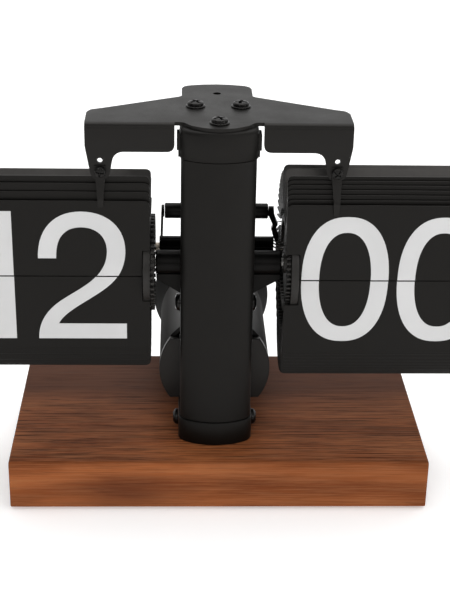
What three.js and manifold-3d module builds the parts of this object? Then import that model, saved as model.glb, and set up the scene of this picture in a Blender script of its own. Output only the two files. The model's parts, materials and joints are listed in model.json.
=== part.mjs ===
// Flip number clock: hour and minute card drums on one axle, carried by a column on a wooden base.
// Millimetres. X runs to the right, Y to the back, Z up. The origin is on the underside of the base,
// on the centre plane of the column.
import * as THREE from 'three';
import { mergeVertices } from 'three/addons/utils/BufferGeometryUtils.js';
import Module from 'manifold-3d';

const wasm = await Module();
wasm.setup();

// ---------------------------------------------------------------- driving dimensions
const GAP = 0.3;                 // clearance between neighbouring pieces

const BASE_WIDTH = 180;
const BASE_DEPTH = 102.2;
const BASE_TOP = 23.2;
const BASE_CENTRE_X = 1.7;       // the column stands slightly left of the middle of the base
const FELT = 1.0;
const BASE_SCREWS_Y = [-26, -4];
const SCREW_SEAT_Z = 9;

const COLUMN_HALF_WIDTH = 15.4;
const COLUMN_FRONT = -36;
const COLUMN_REAR = 6;
const COLUMN_WALL = 1.5;
const COLUMN_CORNER = 3.2;       // width of the soft corners in the plan outline
const FRONT_ARC = 25;            // radius of the curved front
const REAR_ARC = 40;
const SEAM_Y = -15;              // joint between the front and rear covers
const FOOT_TOP = 34;
const CAP_BOTTOM = 152.5;
const CAP_TOP = 165;
const CAP_PROUD = 0.6;           // foot and top cap stand this far outside the covers
const CAP_LUG_X = 17.1;
const CAP_LUG_Y = -26;
const FOOT_SCREW_Y = -20;
const FOOT_SCREW_Z = 28.6;
const COVER_SCREW_Y = -12.6;
const COVER_SCREW_Z = 81.2;

const AXLE_Y = -13.5;
const AXLE_Z = 100.4;
const AXLE_R = 2;
const AXLE_BRACKET_END = { left: 25.9, right: 27.6 };

const CARD_INNER = 28.1;         // inner end of the cards, from the centre plane
const CARD_WIDTH = 91.5;
const CARD_HEIGHT = 33.2;
const CARD_THICK = 0.5;
const CARD_CORNER = 2.6;
const CARD_PITCH = 0.65;         // distance from card to card where they lie against each other
const NOTCH_HEIGHT = 11.3;       // cut-out beside the hinge line that clears the drum's disc
// upright: cards whose pins are within this angle of the front stand up, with their tips tipPitch apart;
// fanTilt is added to the lean of the cards that lie back over the top, fading out towards FAN_END.
const HOUR = { side: -1, cards: 24, pinRadius: 15.2, disc: 19, notch: 3.2, upright: 50, tipPitch: 0.6,
  fanTilt: -6, ringTeeth: 48, ringTip: 26.2, ringWeb: 26.9, ringBack: 27.8 };
const MINUTE = { side: 1, cards: 60, pinRadius: 18.7, disc: 21.8, notch: 6, upright: 43, tipPitch: 0.9,
  fanTilt: 12, ringTeeth: 60, ringTip: 28.6, ringWeb: 29.9, ringBack: 30.6 };
const FAN_END = 160;
const RING_R = 20.6;
const RING_TOOTH_DEPTH = 2.2;
const HUB_R = 4.6;
const DISC_WIDTH = 2.7;
const BARREL_DROP = 1.8;         // the barrel stays this far inside the row of pins

const BRACKET_TOP = 166.5;
const BRACKET_THICK = 1.5;
const BRACKET_HALF = 54;
const FLANGE_FRONT = -28.8;
const FLANGE_BOTTOM = 154.6;
const FLANGE_INNER = 18;
const LEG_X = 48;
const LEG_BOTTOM = 142.9;
const BRACKET_SCREWS = [[-9.4, -4.4], [9.4, -4.4], [0, -27.6]];
const HANGING_HOLE_Y = 15;
const FINGER_SCREW_Z = LEG_BOTTOM + 3.5;
const FINGER_TIP_Z = { left: 131.5, right: 129.5 };
const FINGER_THICK = 0.5;

const CAN_Z = 47.8;
const CAN_R = 24.5;
const CAN_FRONT = -11;
const CAN_REAR = 49;
const CAN_FLAT = 14.5;           // height of the front flange's flats above and below the can's axis
const CAP_R = 28.2;
const CAP_END = 71.2;
const CELL_R = 16.6;
const CELL_FRONT = 8.7;
const CELL_LENGTH = 61;

const PIVOT_Y = -2;
const PIVOT_Z = 119.5;
const PIVOT_END = 22.2;
const ROLLER_Y = 10.6;
const ROLLER_Z = 97.5;
const ROLLER_R = 1.9;
const ROLLER_X = { left: [24.5, 27.8], right: [29.3, 32.6] };
const LEVER_HALF = { left: 1.2, right: 0.7 };    // half the levers' thickness
const POST_Y = -3;
const POST_Z = 104.5;
const POST_LENGTH = { left: 9.1, right: 9.5 };

const PLATE_X = 12;
const PLATE_THICK = 1.2;

const GEAR_MODULE = 0.5;
const HOUR_TEETH = 60;
const TRANSFER_PINION_TEETH = 10;
const TRANSFER_TEETH = 48;
const CANNON_TEETH = 12;
const DRIVE_TEETH = 50;
const MOTOR_TEETH = 10;
const TRANSFER_DISTANCE = GEAR_MODULE * (HOUR_TEETH + TRANSFER_PINION_TEETH) / 2;
const TRANSFER_MODULE = 2 * TRANSFER_DISTANCE / (TRANSFER_TEETH + CANNON_TEETH);
const MOTOR_DISTANCE = GEAR_MODULE * (DRIVE_TEETH + MOTOR_TEETH) / 2;
const TRANSFER_Z = AXLE_Z - TRANSFER_DISTANCE;
const MOTOR_Z = AXLE_Z + MOTOR_DISTANCE;

const SIDES = [[-1, 'left'], [1, 'right']];

// ---------------------------------------------------------------- finishes
const finish = (color, roughness, metalness) => () =>
  new THREE.MeshStandardMaterial({ color, roughness, metalness });
const wood = finish(0x9a6644, 0.55, 0);
const felt = finish(0x2a2a2a, 0.95, 0);
const mattBlack = finish(0x2b2b2b, 0.6, 0.1);
const paintedSheet = finish(0x343331, 0.55, 0.4);
const cardBlack = finish(0x262524, 0.5, 0);
const glossBlack = finish(0x1a1a1b, 0.25, 0.4);
const blackSteel = finish(0x1c1c1c, 0.35, 0.9);
const steel = finish(0xb8b8b8, 0.3, 1);
const brass = finish(0xb69a55, 0.3, 1);
const cream = finish(0xd9cbb4, 0.5, 0);
const boardGreen = finish(0x1f5a34, 0.5, 0);
const cellLabel = finish(0x8a7a3a, 0.4, 0.5);

// ---------------------------------------------------------------- helpers
const clock = new THREE.Group();
const radians = THREE.MathUtils.degToRad;

function add(name, geometry, material, parent = clock) {
  const mesh = new THREE.Mesh(geometry, material());
  mesh.name = name;
  parent.add(mesh);
  return mesh;
}

function toSolid(geometry) {
  if (geometry.index && !geometry.attributes.normal) {
    return solidOf(geometry);
  }
  const bare = geometry.index ? geometry.toNonIndexed() : geometry.clone();
  bare.deleteAttribute('normal');
  bare.deleteAttribute('uv');
  return solidOf(mergeVertices(bare, 1e-4));
}

function solidOf(geometry) {
  const vertProperties = new Float32Array(geometry.attributes.position.array);
  const triVerts = new Uint32Array(geometry.index.array);
  return new wasm.Manifold(new wasm.Mesh({ numProp: 3, vertProperties, triVerts }));
}

function toGeometry(solid) {
  const mesh = solid.getMesh();
  const geometry = new THREE.BufferGeometry();
  geometry.setAttribute('position', new THREE.BufferAttribute(new Float32Array(mesh.vertProperties), 3));
  geometry.setIndex(new THREE.BufferAttribute(new Uint32Array(mesh.triVerts), 1));
  return geometry;
}

function cut(body, ...tools) {
  return toGeometry(tools.reduce((solid, tool) => solid.subtract(toSolid(tool)), toSolid(body)));
}

function join(body, ...others) {
  return toGeometry(others.reduce((solid, other) => solid.add(toSolid(other)), toSolid(body)));
}

function keep(body, region) {
  return toGeometry(toSolid(body).intersect(toSolid(region)));
}

// A box between two corners.
function block(x0, x1, y0, y1, z0, z1) {
  const box = new THREE.BoxGeometry(x1 - x0, y1 - y0, z1 - z0);
  return box.translate((x0 + x1) / 2, (y0 + y1) / 2, (z0 + z1) / 2);
}

// A solid rod along X between x0 and x1 about (y, z).
function rodX(radius, x0, x1, y, z, sides = 16) {
  const rod = new THREE.CylinderGeometry(radius, radius, x1 - x0, sides);
  return rod.rotateZ(Math.PI / 2).translate((x0 + x1) / 2, y, z);
}

function rodY(radius, y0, y1, x, z, sides = 16) {
  const rod = new THREE.CylinderGeometry(radius, radius, y1 - y0, sides);
  return rod.translate(x, (y0 + y1) / 2, z);
}

function rodZ(radius, z0, z1, x, y, sides = 12) {
  const rod = new THREE.CylinderGeometry(radius, radius, z1 - z0, sides);
  return rod.rotateX(Math.PI / 2).translate(x, y, (z0 + z1) / 2);
}

// An outline in the YZ plane, given as (y, z), extruded along X from x0 to x1.
function extrudeX(shape, x0, x1, curveSegments = 5) {
  const solid = new THREE.ExtrudeGeometry(shape, { depth: x1 - x0, bevelEnabled: false, curveSegments });
  return solid.rotateX(Math.PI / 2).rotateZ(Math.PI / 2).translate(x0, 0, 0);
}

// An outline in the XZ plane, given as (x, z), extruded along Y from y0 to y1.
function extrudeY(shape, y0, y1, curveSegments = 5) {
  const solid = new THREE.ExtrudeGeometry(shape, { depth: y1 - y0, bevelEnabled: false, curveSegments });
  return solid.rotateX(Math.PI / 2).translate(0, y1, 0);
}

// An outline in the XY plane extruded along Z from z0 to z1.
function extrudeZ(shape, z0, z1, curveSegments = 5) {
  const solid = new THREE.ExtrudeGeometry(shape, { depth: z1 - z0, bevelEnabled: false, curveSegments });
  return solid.translate(0, 0, z0);
}

function polygon(points) {
  return new THREE.Shape(points.map(([x, y]) => new THREE.Vector2(x, y)));
}

// A body of revolution about the X axis through (y, z); the profile is a list of (x, radius).
function turnedX(profile, y, z, segments = 24) {
  const points = profile.map(([x, r]) => new THREE.Vector2(r, x));
  const solid = new THREE.LatheGeometry(points, segments);
  return solid.rotateZ(-Math.PI / 2).translate(0, y, z);
}

// A body of revolution about the Y axis through (x, z); the profile is a list of (y, radius).
function turnedY(profile, x, z, segments = 40) {
  const points = profile.map(([y, r]) => new THREE.Vector2(r, y));
  return new THREE.LatheGeometry(points, segments).translate(x, 0, z);
}

// A body of revolution about the Z axis through (x, y); the profile is a list of (z, radius).
function turnedZ(profile, x, y, segments = 12) {
  const points = profile.map(([z, r]) => new THREE.Vector2(r, z));
  return new THREE.LatheGeometry(points, segments).rotateX(Math.PI / 2).translate(x, y, 0);
}

function roundedRectangle(x0, x1, y0, y1, r) {
  const shape = new THREE.Shape();
  shape.moveTo(x0 + r, y0);
  shape.lineTo(x1 - r, y0);
  shape.absarc(x1 - r, y0 + r, r, -Math.PI / 2, 0);
  shape.lineTo(x1, y1 - r);
  shape.absarc(x1 - r, y1 - r, r, 0, Math.PI / 2);
  shape.lineTo(x0 + r, y1);
  shape.absarc(x0 + r, y1 - r, r, Math.PI / 2, Math.PI);
  shape.lineTo(x0, y0 + r);
  shape.absarc(x0 + r, y0 + r, r, Math.PI, 1.5 * Math.PI);
  return shape;
}

// ---------------------------------------------------------------- base
function buildBase() {
  const x0 = BASE_CENTRE_X - BASE_WIDTH / 2;
  const x1 = BASE_CENTRE_X + BASE_WIDTH / 2;
  const y = BASE_DEPTH / 2;
  const edge = 2.5;
  const profile = new THREE.Shape();
  profile.moveTo(-y + 0.6, FELT);
  profile.lineTo(y - 0.6, FELT);
  profile.lineTo(y, FELT + 0.6);
  profile.lineTo(y, BASE_TOP - edge);
  profile.absarc(y - edge, BASE_TOP - edge, edge, 0, Math.PI / 2);
  profile.lineTo(-y + edge, BASE_TOP);
  profile.absarc(-y + edge, BASE_TOP - edge, edge, Math.PI / 2, Math.PI);
  profile.lineTo(-y, FELT + 0.6);
  const screwHoles = [];
  for (const screwY of BASE_SCREWS_Y) {
    screwHoles.push(rodZ(2.3, FELT - 1, BASE_TOP + 1, 0, screwY));
    screwHoles.push(rodZ(4.6, FELT - 1, SCREW_SEAT_Z, 0, screwY));
  }
  add('base_board', cut(extrudeX(profile, x0, x1, 4), ...screwHoles), wood);
  const inset = 4;
  add('base_felt', extrudeZ(roundedRectangle(x0 + inset, x1 - inset, -y + inset, y - inset, 3), 0, FELT, 4), felt);
  BASE_SCREWS_Y.forEach((screwY, i) => {
    const profileScrew = [[SCREW_SEAT_Z - 3, 0], [SCREW_SEAT_Z - 3, 4], [SCREW_SEAT_Z, 4],
      [SCREW_SEAT_Z, 2], [BASE_TOP + 4.5, 2], [BASE_TOP + 5.5, 0]];
    add(`base_screw_${i + 1}`, turnedZ(profileScrew, 0, screwY, 12), steel);
  });
}

// ---------------------------------------------------------------- column
// Plan outline of the column, moved inwards by inset: curved front and rear, flat sides, soft corners.
function columnOutline(inset) {
  const half = COLUMN_HALF_WIDTH - inset;
  const corner = Math.max(COLUMN_CORNER - inset, 0.8);
  const reach = half - corner;
  const frontR = FRONT_ARC - inset;
  const rearR = REAR_ARC - inset;
  const front = COLUMN_FRONT + inset;
  const rear = COLUMN_REAR - inset;
  const frontAngle = Math.asin(reach / frontR);
  const rearAngle = Math.asin(reach / rearR);
  const frontEnd = front + frontR * (1 - Math.cos(frontAngle));
  const rearEnd = rear - rearR * (1 - Math.cos(rearAngle));
  const frontBend = frontEnd + corner * Math.tan(frontAngle);
  const rearBend = rearEnd - corner * Math.tan(rearAngle);
  const shape = new THREE.Shape();
  shape.moveTo(half, frontBend + corner);
  shape.lineTo(half, rearBend - corner);
  shape.quadraticCurveTo(half, rearBend, reach, rearEnd);
  shape.absarc(0, rear - rearR, rearR, Math.PI / 2 - rearAngle, Math.PI / 2 + rearAngle);
  shape.quadraticCurveTo(-half, rearBend, -half, rearBend - corner);
  shape.lineTo(-half, frontBend + corner);
  shape.quadraticCurveTo(-half, frontBend, -reach, frontEnd);
  shape.absarc(0, front + frontR, frontR, 1.5 * Math.PI - frontAngle, 1.5 * Math.PI + frontAngle);
  shape.quadraticCurveTo(half, frontBend, half, frontBend + corner);
  return shape;
}

function buildColumn() {
  const low = FOOT_TOP + 0.2;
  const high = CAP_BOTTOM - 0.2;
  const wide = COLUMN_HALF_WIDTH + 5;
  const tube = cut(extrudeZ(columnOutline(0), low, high), extrudeZ(columnOutline(COLUMN_WALL), low - 1, high + 1));
  const axleHole = rodX(5.9, -wide, wide, AXLE_Y, AXLE_Z, 20);
  const pivotHole = rodX(2.7, -wide, wide, PIVOT_Y, PIVOT_Z, 12);
  const screwHole = rodX(1.5, -wide, wide, COVER_SCREW_Y, COVER_SCREW_Z, 12);
  const wireHole = rodY(2.5, 0, 12, 0, CAN_Z, 12);
  const front = keep(tube, block(-wide, wide, COLUMN_FRONT - 5, SEAM_Y - 0.1, low - 1, high + 1));
  const rear = keep(tube, block(-wide, wide, SEAM_Y + 0.1, COLUMN_REAR + 5, low - 1, high + 1));
  add('column_front_cover', cut(front, axleHole), mattBlack);
  add('column_rear_cover', cut(rear, axleHole, pivotHole, screwHole, wireHole), mattBlack);

  const footBody = extrudeZ(columnOutline(-CAP_PROUD), BASE_TOP, FOOT_TOP);
  const footHollow = extrudeZ(columnOutline(2), BASE_TOP + 5.6, FOOT_TOP + 1);
  const footHoles = BASE_SCREWS_Y.map((y) => rodZ(2.2, BASE_TOP - 1, BASE_TOP + 7, 0, y, 16));
  add('column_foot', cut(footBody, footHollow, ...footHoles), mattBlack);

  const capPlan = { depth: CAP_TOP - CAP_BOTTOM, bevelEnabled: true, bevelSize: 1.6, bevelThickness: 1.6,
    bevelOffset: -1.6, bevelSegments: 1, curveSegments: 4 };
  const capBlank = new THREE.ExtrudeGeometry(columnOutline(-CAP_PROUD), capPlan);
  capBlank.translate(0, 0, CAP_BOTTOM - 1.6);
  const capRegion = block(-wide, wide, COLUMN_FRONT - 5, COLUMN_REAR + 5, CAP_BOTTOM, CAP_TOP);
  const capHollow = extrudeZ(columnOutline(2), CAP_BOTTOM - 1, CAP_TOP - 3.5);
  const capHoles = BRACKET_SCREWS.map(([x, y]) => rodZ(2.1, CAP_TOP - 6, CAP_TOP + 3, x, y, 12));
  const lugUpper = block(-CAP_LUG_X, CAP_LUG_X, CAP_LUG_Y - 3.5, CAP_LUG_Y + 3.5, 155.6, 162.4);
  const lugLower = block(-CAP_LUG_X + 0.6, CAP_LUG_X - 0.6, CAP_LUG_Y - 2.5, CAP_LUG_Y + 2.5, CAP_BOTTOM, 157);
  const lugged = join(keep(capBlank, capRegion), lugUpper, lugLower);
  add('column_top_cap', cut(lugged, capHollow, ...capHoles), mattBlack);

  for (const [side, name] of SIDES) {
    const x = side * (COLUMN_HALF_WIDTH + CAP_PROUD);
    const sideways = (profile) => turnedX(profile.map(([d, r]) => [x + side * d, r]), FOOT_SCREW_Y, FOOT_SCREW_Z, 14);
    const head = [[GAP / 3, 0], [GAP / 3, 3.6], [1.4, 3.4], [2.4, 2.2], [2.4, 0]];
    const ordered = side > 0 ? head : head.slice().reverse();
    add(`foot_screw_${name}`, sideways(ordered), blackSteel);
    const xc = side * COLUMN_HALF_WIDTH;
    const bolt = [[-1.8, 0], [-1.8, 1.2], [0.1, 1.2], [0.1, 4], [1.6, 3.6], [2.2, 2.4], [2.2, 0]];
    const boltOrdered = side > 0 ? bolt : bolt.slice().reverse();
    const points = boltOrdered.map(([d, r]) => [xc + side * d, r]);
    add(`cover_screw_${name}`, turnedX(points, COVER_SCREW_Y, COVER_SCREW_Z, 14), blackSteel);
  }
}

// ---------------------------------------------------------------- sheet bracket on top
function bracketPlan() {
  const half = BRACKET_HALF;
  const tab = 15.1;
  const shape = new THREE.Shape();
  shape.moveTo(half, FLANGE_FRONT);
  shape.lineTo(half, -13);
  shape.quadraticCurveTo(half, -9.6, half - 4, -8.3);
  shape.lineTo(tab + 1, 10);
  shape.lineTo(tab, 11);
  shape.lineTo(tab, 22);
  shape.quadraticCurveTo(tab, 26, tab - 4, 27.2);
  shape.quadraticCurveTo(0, 31.6, -tab + 4, 27.2);
  shape.quadraticCurveTo(-tab, 26, -tab, 22);
  shape.lineTo(-tab, 11);
  shape.lineTo(-tab - 1, 10);
  shape.lineTo(-half + 4, -8.3);
  shape.quadraticCurveTo(-half, -9.6, -half, -13);
  shape.lineTo(-half, FLANGE_FRONT);
  shape.lineTo(-FLANGE_INNER, FLANGE_FRONT);
  shape.lineTo(-FLANGE_INNER, FLANGE_FRONT + 1.5);
  shape.lineTo(-15, FLANGE_FRONT + 1.5);
  shape.quadraticCurveTo(-13.2, FLANGE_FRONT + 0.8, -11.5, -31);
  shape.quadraticCurveTo(0, -39.8, 11.5, -31);
  shape.quadraticCurveTo(13.2, FLANGE_FRONT + 0.8, 15, FLANGE_FRONT + 1.5);
  shape.lineTo(FLANGE_INNER, FLANGE_FRONT + 1.5);
  shape.lineTo(FLANGE_INNER, FLANGE_FRONT);
  return shape;
}

// Front view of one down-turned flange with its leg, for the right side.
function flangeShape(side) {
  const at = (x, z) => [side * x, z];
  const shape = new THREE.Shape();
  shape.moveTo(...at(BRACKET_HALF, BRACKET_TOP));
  shape.lineTo(...at(BRACKET_HALF, 157));
  shape.lineTo(...at(LEG_X + 3.4, LEG_BOTTOM + 1.2));
  shape.quadraticCurveTo(...at(LEG_X + 3, LEG_BOTTOM), ...at(LEG_X + 2, LEG_BOTTOM));
  shape.lineTo(...at(LEG_X - 2, LEG_BOTTOM));
  shape.quadraticCurveTo(...at(LEG_X - 3, LEG_BOTTOM), ...at(LEG_X - 3.4, LEG_BOTTOM + 1.2));
  shape.lineTo(...at(LEG_X - 5, FLANGE_BOTTOM - 4.5));
  shape.quadraticCurveTo(...at(LEG_X - 5.4, FLANGE_BOTTOM), ...at(LEG_X - 10, FLANGE_BOTTOM));
  shape.lineTo(...at(FLANGE_INNER + 3, FLANGE_BOTTOM));
  shape.quadraticCurveTo(...at(FLANGE_INNER, FLANGE_BOTTOM), ...at(FLANGE_INNER, FLANGE_BOTTOM + 3));
  shape.lineTo(...at(FLANGE_INNER, BRACKET_TOP));
  return shape;
}

function buildBracket() {
  let plate = extrudeZ(bracketPlan(), CAP_TOP, BRACKET_TOP, 6);
  for (const [side] of SIDES) {
    const flange = extrudeY(flangeShape(side), FLANGE_FRONT, FLANGE_FRONT + BRACKET_THICK, 4);
    plate = join(plate, flange);
  }
  // the fold between plate and flange is rounded on the outside
  const fold = 1.6;
  const foldCut = polygon([[FLANGE_FRONT - 1, BRACKET_TOP + 1], [FLANGE_FRONT - 1, BRACKET_TOP - fold],
    [FLANGE_FRONT, BRACKET_TOP - fold], [FLANGE_FRONT + 0.3 * fold, BRACKET_TOP - 0.3 * fold],
    [FLANGE_FRONT + fold, BRACKET_TOP], [FLANGE_FRONT + fold, BRACKET_TOP + 1]]);
  const holes = [];
  for (const [side] of SIDES) {
    const inner = side * (FLANGE_INNER - 0.5);
    const outer = side * (BRACKET_HALF + 1);
    holes.push(extrudeX(foldCut, Math.min(inner, outer), Math.max(inner, outer)));
    holes.push(rodY(1.1, FLANGE_FRONT - 2, FLANGE_FRONT + 4, side * LEG_X, FINGER_SCREW_Z + 4.5, 12));
    holes.push(rodY(1.3, FLANGE_FRONT - 2, FLANGE_FRONT + 4, side * LEG_X, FINGER_SCREW_Z, 12));
  }
  for (const [x, y] of BRACKET_SCREWS) {
    holes.push(rodZ(2.1, CAP_TOP - 2, BRACKET_TOP + 2, x, y, 12));
  }
  holes.push(rodZ(1.7, CAP_TOP - 2, BRACKET_TOP + 2, 0, HANGING_HOLE_Y, 16));
  add('top_bracket', cut(plate, ...holes), paintedSheet);

  BRACKET_SCREWS.forEach(([x, y], i) => {
    const dome = [[CAP_TOP - 5, 0], [CAP_TOP - 5, 1.8], [BRACKET_TOP, 1.8], [BRACKET_TOP, 4.1],
      [BRACKET_TOP + 0.7, 4.1], [BRACKET_TOP + 0.9, 3.3], [BRACKET_TOP + 2.1, 2.4], [BRACKET_TOP + 2.6, 0]];
    const slot = block(-2, 2, -0.45, 0.45, BRACKET_TOP + 1.5, BRACKET_TOP + 3).translate(x, y, 0);
    const cross = block(-0.45, 0.45, -2, 2, BRACKET_TOP + 1.5, BRACKET_TOP + 3).translate(x, y, 0);
    add(`bracket_screw_${i + 1}`, cut(turnedZ(dome, x, y, 12), slot, cross), blackSteel);
  });
}

// ---------------------------------------------------------------- card fingers under the bracket
function buildFingers() {
  const back = FLANGE_FRONT - 0.1;
  for (const [side, name] of SIDES) {
    const drum = side < 0 ? HOUR : MINUTE;
    const tipBack = AXLE_Y - drum.pinRadius - 2 * CARD_THICK - GAP;
    const tipZ = FINGER_TIP_Z[name];
    const bend = FINGER_SCREW_Z - 2.6;
    const knee = AXLE_Z + GAP + CARD_HEIGHT + 0.8;
    const profile = polygon([[back - FINGER_THICK, FINGER_SCREW_Z + 2.4], [back - FINGER_THICK, bend],
      [tipBack - FINGER_THICK, knee], [tipBack - FINGER_THICK, tipZ], [tipBack, tipZ],
      [tipBack, knee], [back, bend], [back, FINGER_SCREW_Z + 2.4]]);
    const x = side * LEG_X;
    const front = polygon([[x - 2.3, FINGER_SCREW_Z + 3], [x - 1.5, tipZ - 1], [x + 1.5, tipZ - 1],
      [x + 2.3, FINGER_SCREW_Z + 3]]);
    const blank = keep(extrudeX(profile, x - 3, x + 3), extrudeY(front, back - 8, back + 2));
    const hole = rodY(1.3, back - 3, back + 2, x, FINGER_SCREW_Z, 12);
    add(`card_finger_${name}`, cut(blank, hole), paintedSheet);
    const headBack = back - FINGER_THICK - GAP;
    const nutEnd = FLANGE_FRONT + BRACKET_THICK + 0.6;
    const screw = [[headBack - 1.3, 0], [headBack - 1.1, 1.5], [headBack - 0.4, 2.1], [headBack, 2.1],
      [headBack, 1], [nutEnd, 1], [nutEnd, 0]];
    add(`finger_screw_${name}`, turnedY(screw, x, FINGER_SCREW_Z, 10), blackSteel);
  }
}

// ---------------------------------------------------------------- battery housing behind the column
function buildBatteryHousing() {
  const bore = CAN_R - 2;
  const shell = turnedY([[CAN_FRONT + 3, 0], [CAN_FRONT + 3, CAN_R], [CAN_REAR, CAN_R], [CAN_REAR, 0]], 0, CAN_Z, 36);
  const flange = turnedY([[CAN_FRONT, 0], [CAN_FRONT, CAN_R + 0.1], [CAN_FRONT + 3, CAN_R + 0.1],
    [CAN_FRONT + 3, 0]], 0, CAN_Z, 36);
  const flats = block(-30, 30, CAN_FRONT - 1, CAN_FRONT + 4, CAN_Z - CAN_FLAT, CAN_Z + CAN_FLAT);
  const blank = join(shell, keep(flange, flats));
  const hollow = rodY(bore, COLUMN_REAR + GAP + 1.6, CAN_REAR + 1, 0, CAN_Z, 32);
  const columnRoom = extrudeZ(columnOutline(-GAP), CAN_Z - 40, CAN_Z + 40);
  const underside = block(-30, 30, CAN_FRONT + 2, COLUMN_REAR - 1, CAN_Z - 40, CAN_Z - CAN_FLAT);
  const wireHole = rodY(2.5, 0, 12, 0, CAN_Z, 12);
  const footRoom = extrudeZ(columnOutline(-CAP_PROUD - GAP), BASE_TOP - 2, FOOT_TOP + GAP);
  add('battery_housing', cut(blank, hollow, columnRoom, footRoom, underside, wireHole), glossBlack);

  const cap = [[CAN_REAR + GAP, CAN_R - 4.4], [CAN_REAR + GAP, CAN_R], [CAN_REAR + 17, CAP_R - 0.4],
    [CAN_REAR + 19, CAP_R], [CAP_END - 1.2, CAP_R], [CAP_END, CAP_R - 1.2], [CAP_END, 0],
    [CAP_END - 1.2, 0], [CAP_END - 1.2, CAN_R - 4.4], [CAN_REAR + GAP, CAN_R - 4.4]];
  const grip = block(-2.2, 2.2, CAP_END - 0.6, CAP_END + 1, CAN_Z - 12, CAN_Z + 12);
  add('battery_cap', cut(turnedY(cap, 0, CAN_Z, 36), grip), glossBlack);
  const tubeFront = COLUMN_REAR + GAP + 1.6 + 1;
  const tube = [[tubeFront, 16.9], [tubeFront, bore - GAP], [tubeFront + 2, bore - GAP], [tubeFront + 2, 18.2],
    [CAN_REAR - 4, 18.2], [CAN_REAR - 4, bore - GAP], [CAN_REAR - 2, bore - GAP], [CAN_REAR - 2, 16.9],
    [tubeFront, 16.9]];
  add('battery_tube', turnedY(tube, 0, CAN_Z, 24), mattBlack);

  const end = CELL_FRONT + CELL_LENGTH;
  add('battery_cell', turnedY([[CELL_FRONT, 0], [CELL_FRONT, 4.8], [CELL_FRONT + 1.5, 4.8],
    [CELL_FRONT + 1.5, CELL_R - 1], [CELL_FRONT + 2.5, CELL_R], [end - 1, CELL_R], [end, CELL_R - 1],
    [end, 0]], 0, CAN_Z, 24), cellLabel);
  const plate = COLUMN_REAR + GAP + 1.6;
  add('battery_contact', turnedY([[plate + 0.1, 3.2], [plate + 0.1, 9], [plate + 0.7, 9], [plate + 0.7, 3.2],
    [plate + 0.1, 3.2]], 0, CAN_Z, 20), brass);
}

// ---------------------------------------------------------------- fixed axle brackets beside the column
function buildAxleBrackets() {
  for (const [side, name] of SIDES) {
    const near = side * (COLUMN_HALF_WIDTH + 0.1);
    const far = side * AXLE_BRACKET_END[name];
    const x0 = Math.min(near, far);
    const x1 = Math.max(near, far);
    const tube = rodX(5.2, x0, x1, AXLE_Y, AXLE_Z, 28);
    const web = polygon([[near, AXLE_Z - 4], [far, AXLE_Z - 4], [far, AXLE_Z - 6.4], [near, AXLE_Z - 13.2]]);
    const body = join(tube, extrudeY(web, AXLE_Y - 3.6, AXLE_Y + 3.6));
    add(`axle_bracket_${name}`, cut(body, rodX(side < 0 ? 3.8 : AXLE_R + GAP, x0 - 1, x1 + 1, AXLE_Y, AXLE_Z, 24)),
      mattBlack);
  }
}

// ---------------------------------------------------------------- drums
// One drum: hub, inner disc, long barrel and outer disc in one turned piece.
function drumProfile(drum, boreRadius) {
  const barrel = drum.pinRadius - BARREL_DROP;
  const innerDisc = drum.ringBack + 0.1;
  const innerDiscEnd = CARD_INNER + drum.notch - GAP;
  const outerDisc = CARD_INNER + CARD_WIDTH - DISC_WIDTH;
  const inner = [[drum.ringTip, boreRadius], [drum.ringTip, HUB_R], [innerDisc, HUB_R], [innerDisc, drum.disc],
    [innerDiscEnd, drum.disc], [innerDiscEnd, barrel]];
  const outer = [[outerDisc, barrel], [outerDisc, drum.disc], [outerDisc + DISC_WIDTH, drum.disc],
    [outerDisc + DISC_WIDTH, boreRadius]];
  return [...inner, ...outer, [drum.ringTip, boreRadius]];
}

function mirrorProfile(profile, side) {
  return side > 0 ? profile : profile.map(([x, r]) => [-x, r]).reverse();
}

// Toothed ring on the inner side of a drum: a thin web with bar teeth around its rim.
function ringGeometry(drum) {
  const webR = RING_R - RING_TOOTH_DEPTH;
  const bore = HUB_R + GAP;
  const web = turnedX(mirrorProfile([[drum.ringWeb, bore], [drum.ringWeb, webR], [drum.ringBack, webR],
    [drum.ringBack, bore], [drum.ringWeb, bore]], drum.side), 0, 0, 32);
  const toothHalf = 0.2 * 2 * Math.PI * RING_R / drum.ringTeeth;
  const x0 = drum.side > 0 ? drum.ringTip : -drum.ringBack;
  const x1 = drum.side > 0 ? drum.ringBack : -drum.ringTip;
  const teeth = [];
  for (let i = 0; i < drum.ringTeeth; i += 1) {
    const tooth = block(x0, x1, -toothHalf, toothHalf, webR - 0.6, RING_R);
    teeth.push(tooth.rotateX((i + 0.5) * 2 * Math.PI / drum.ringTeeth));
  }
  return join(web, ...teeth).translate(0, AXLE_Y, AXLE_Z);
}

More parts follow.
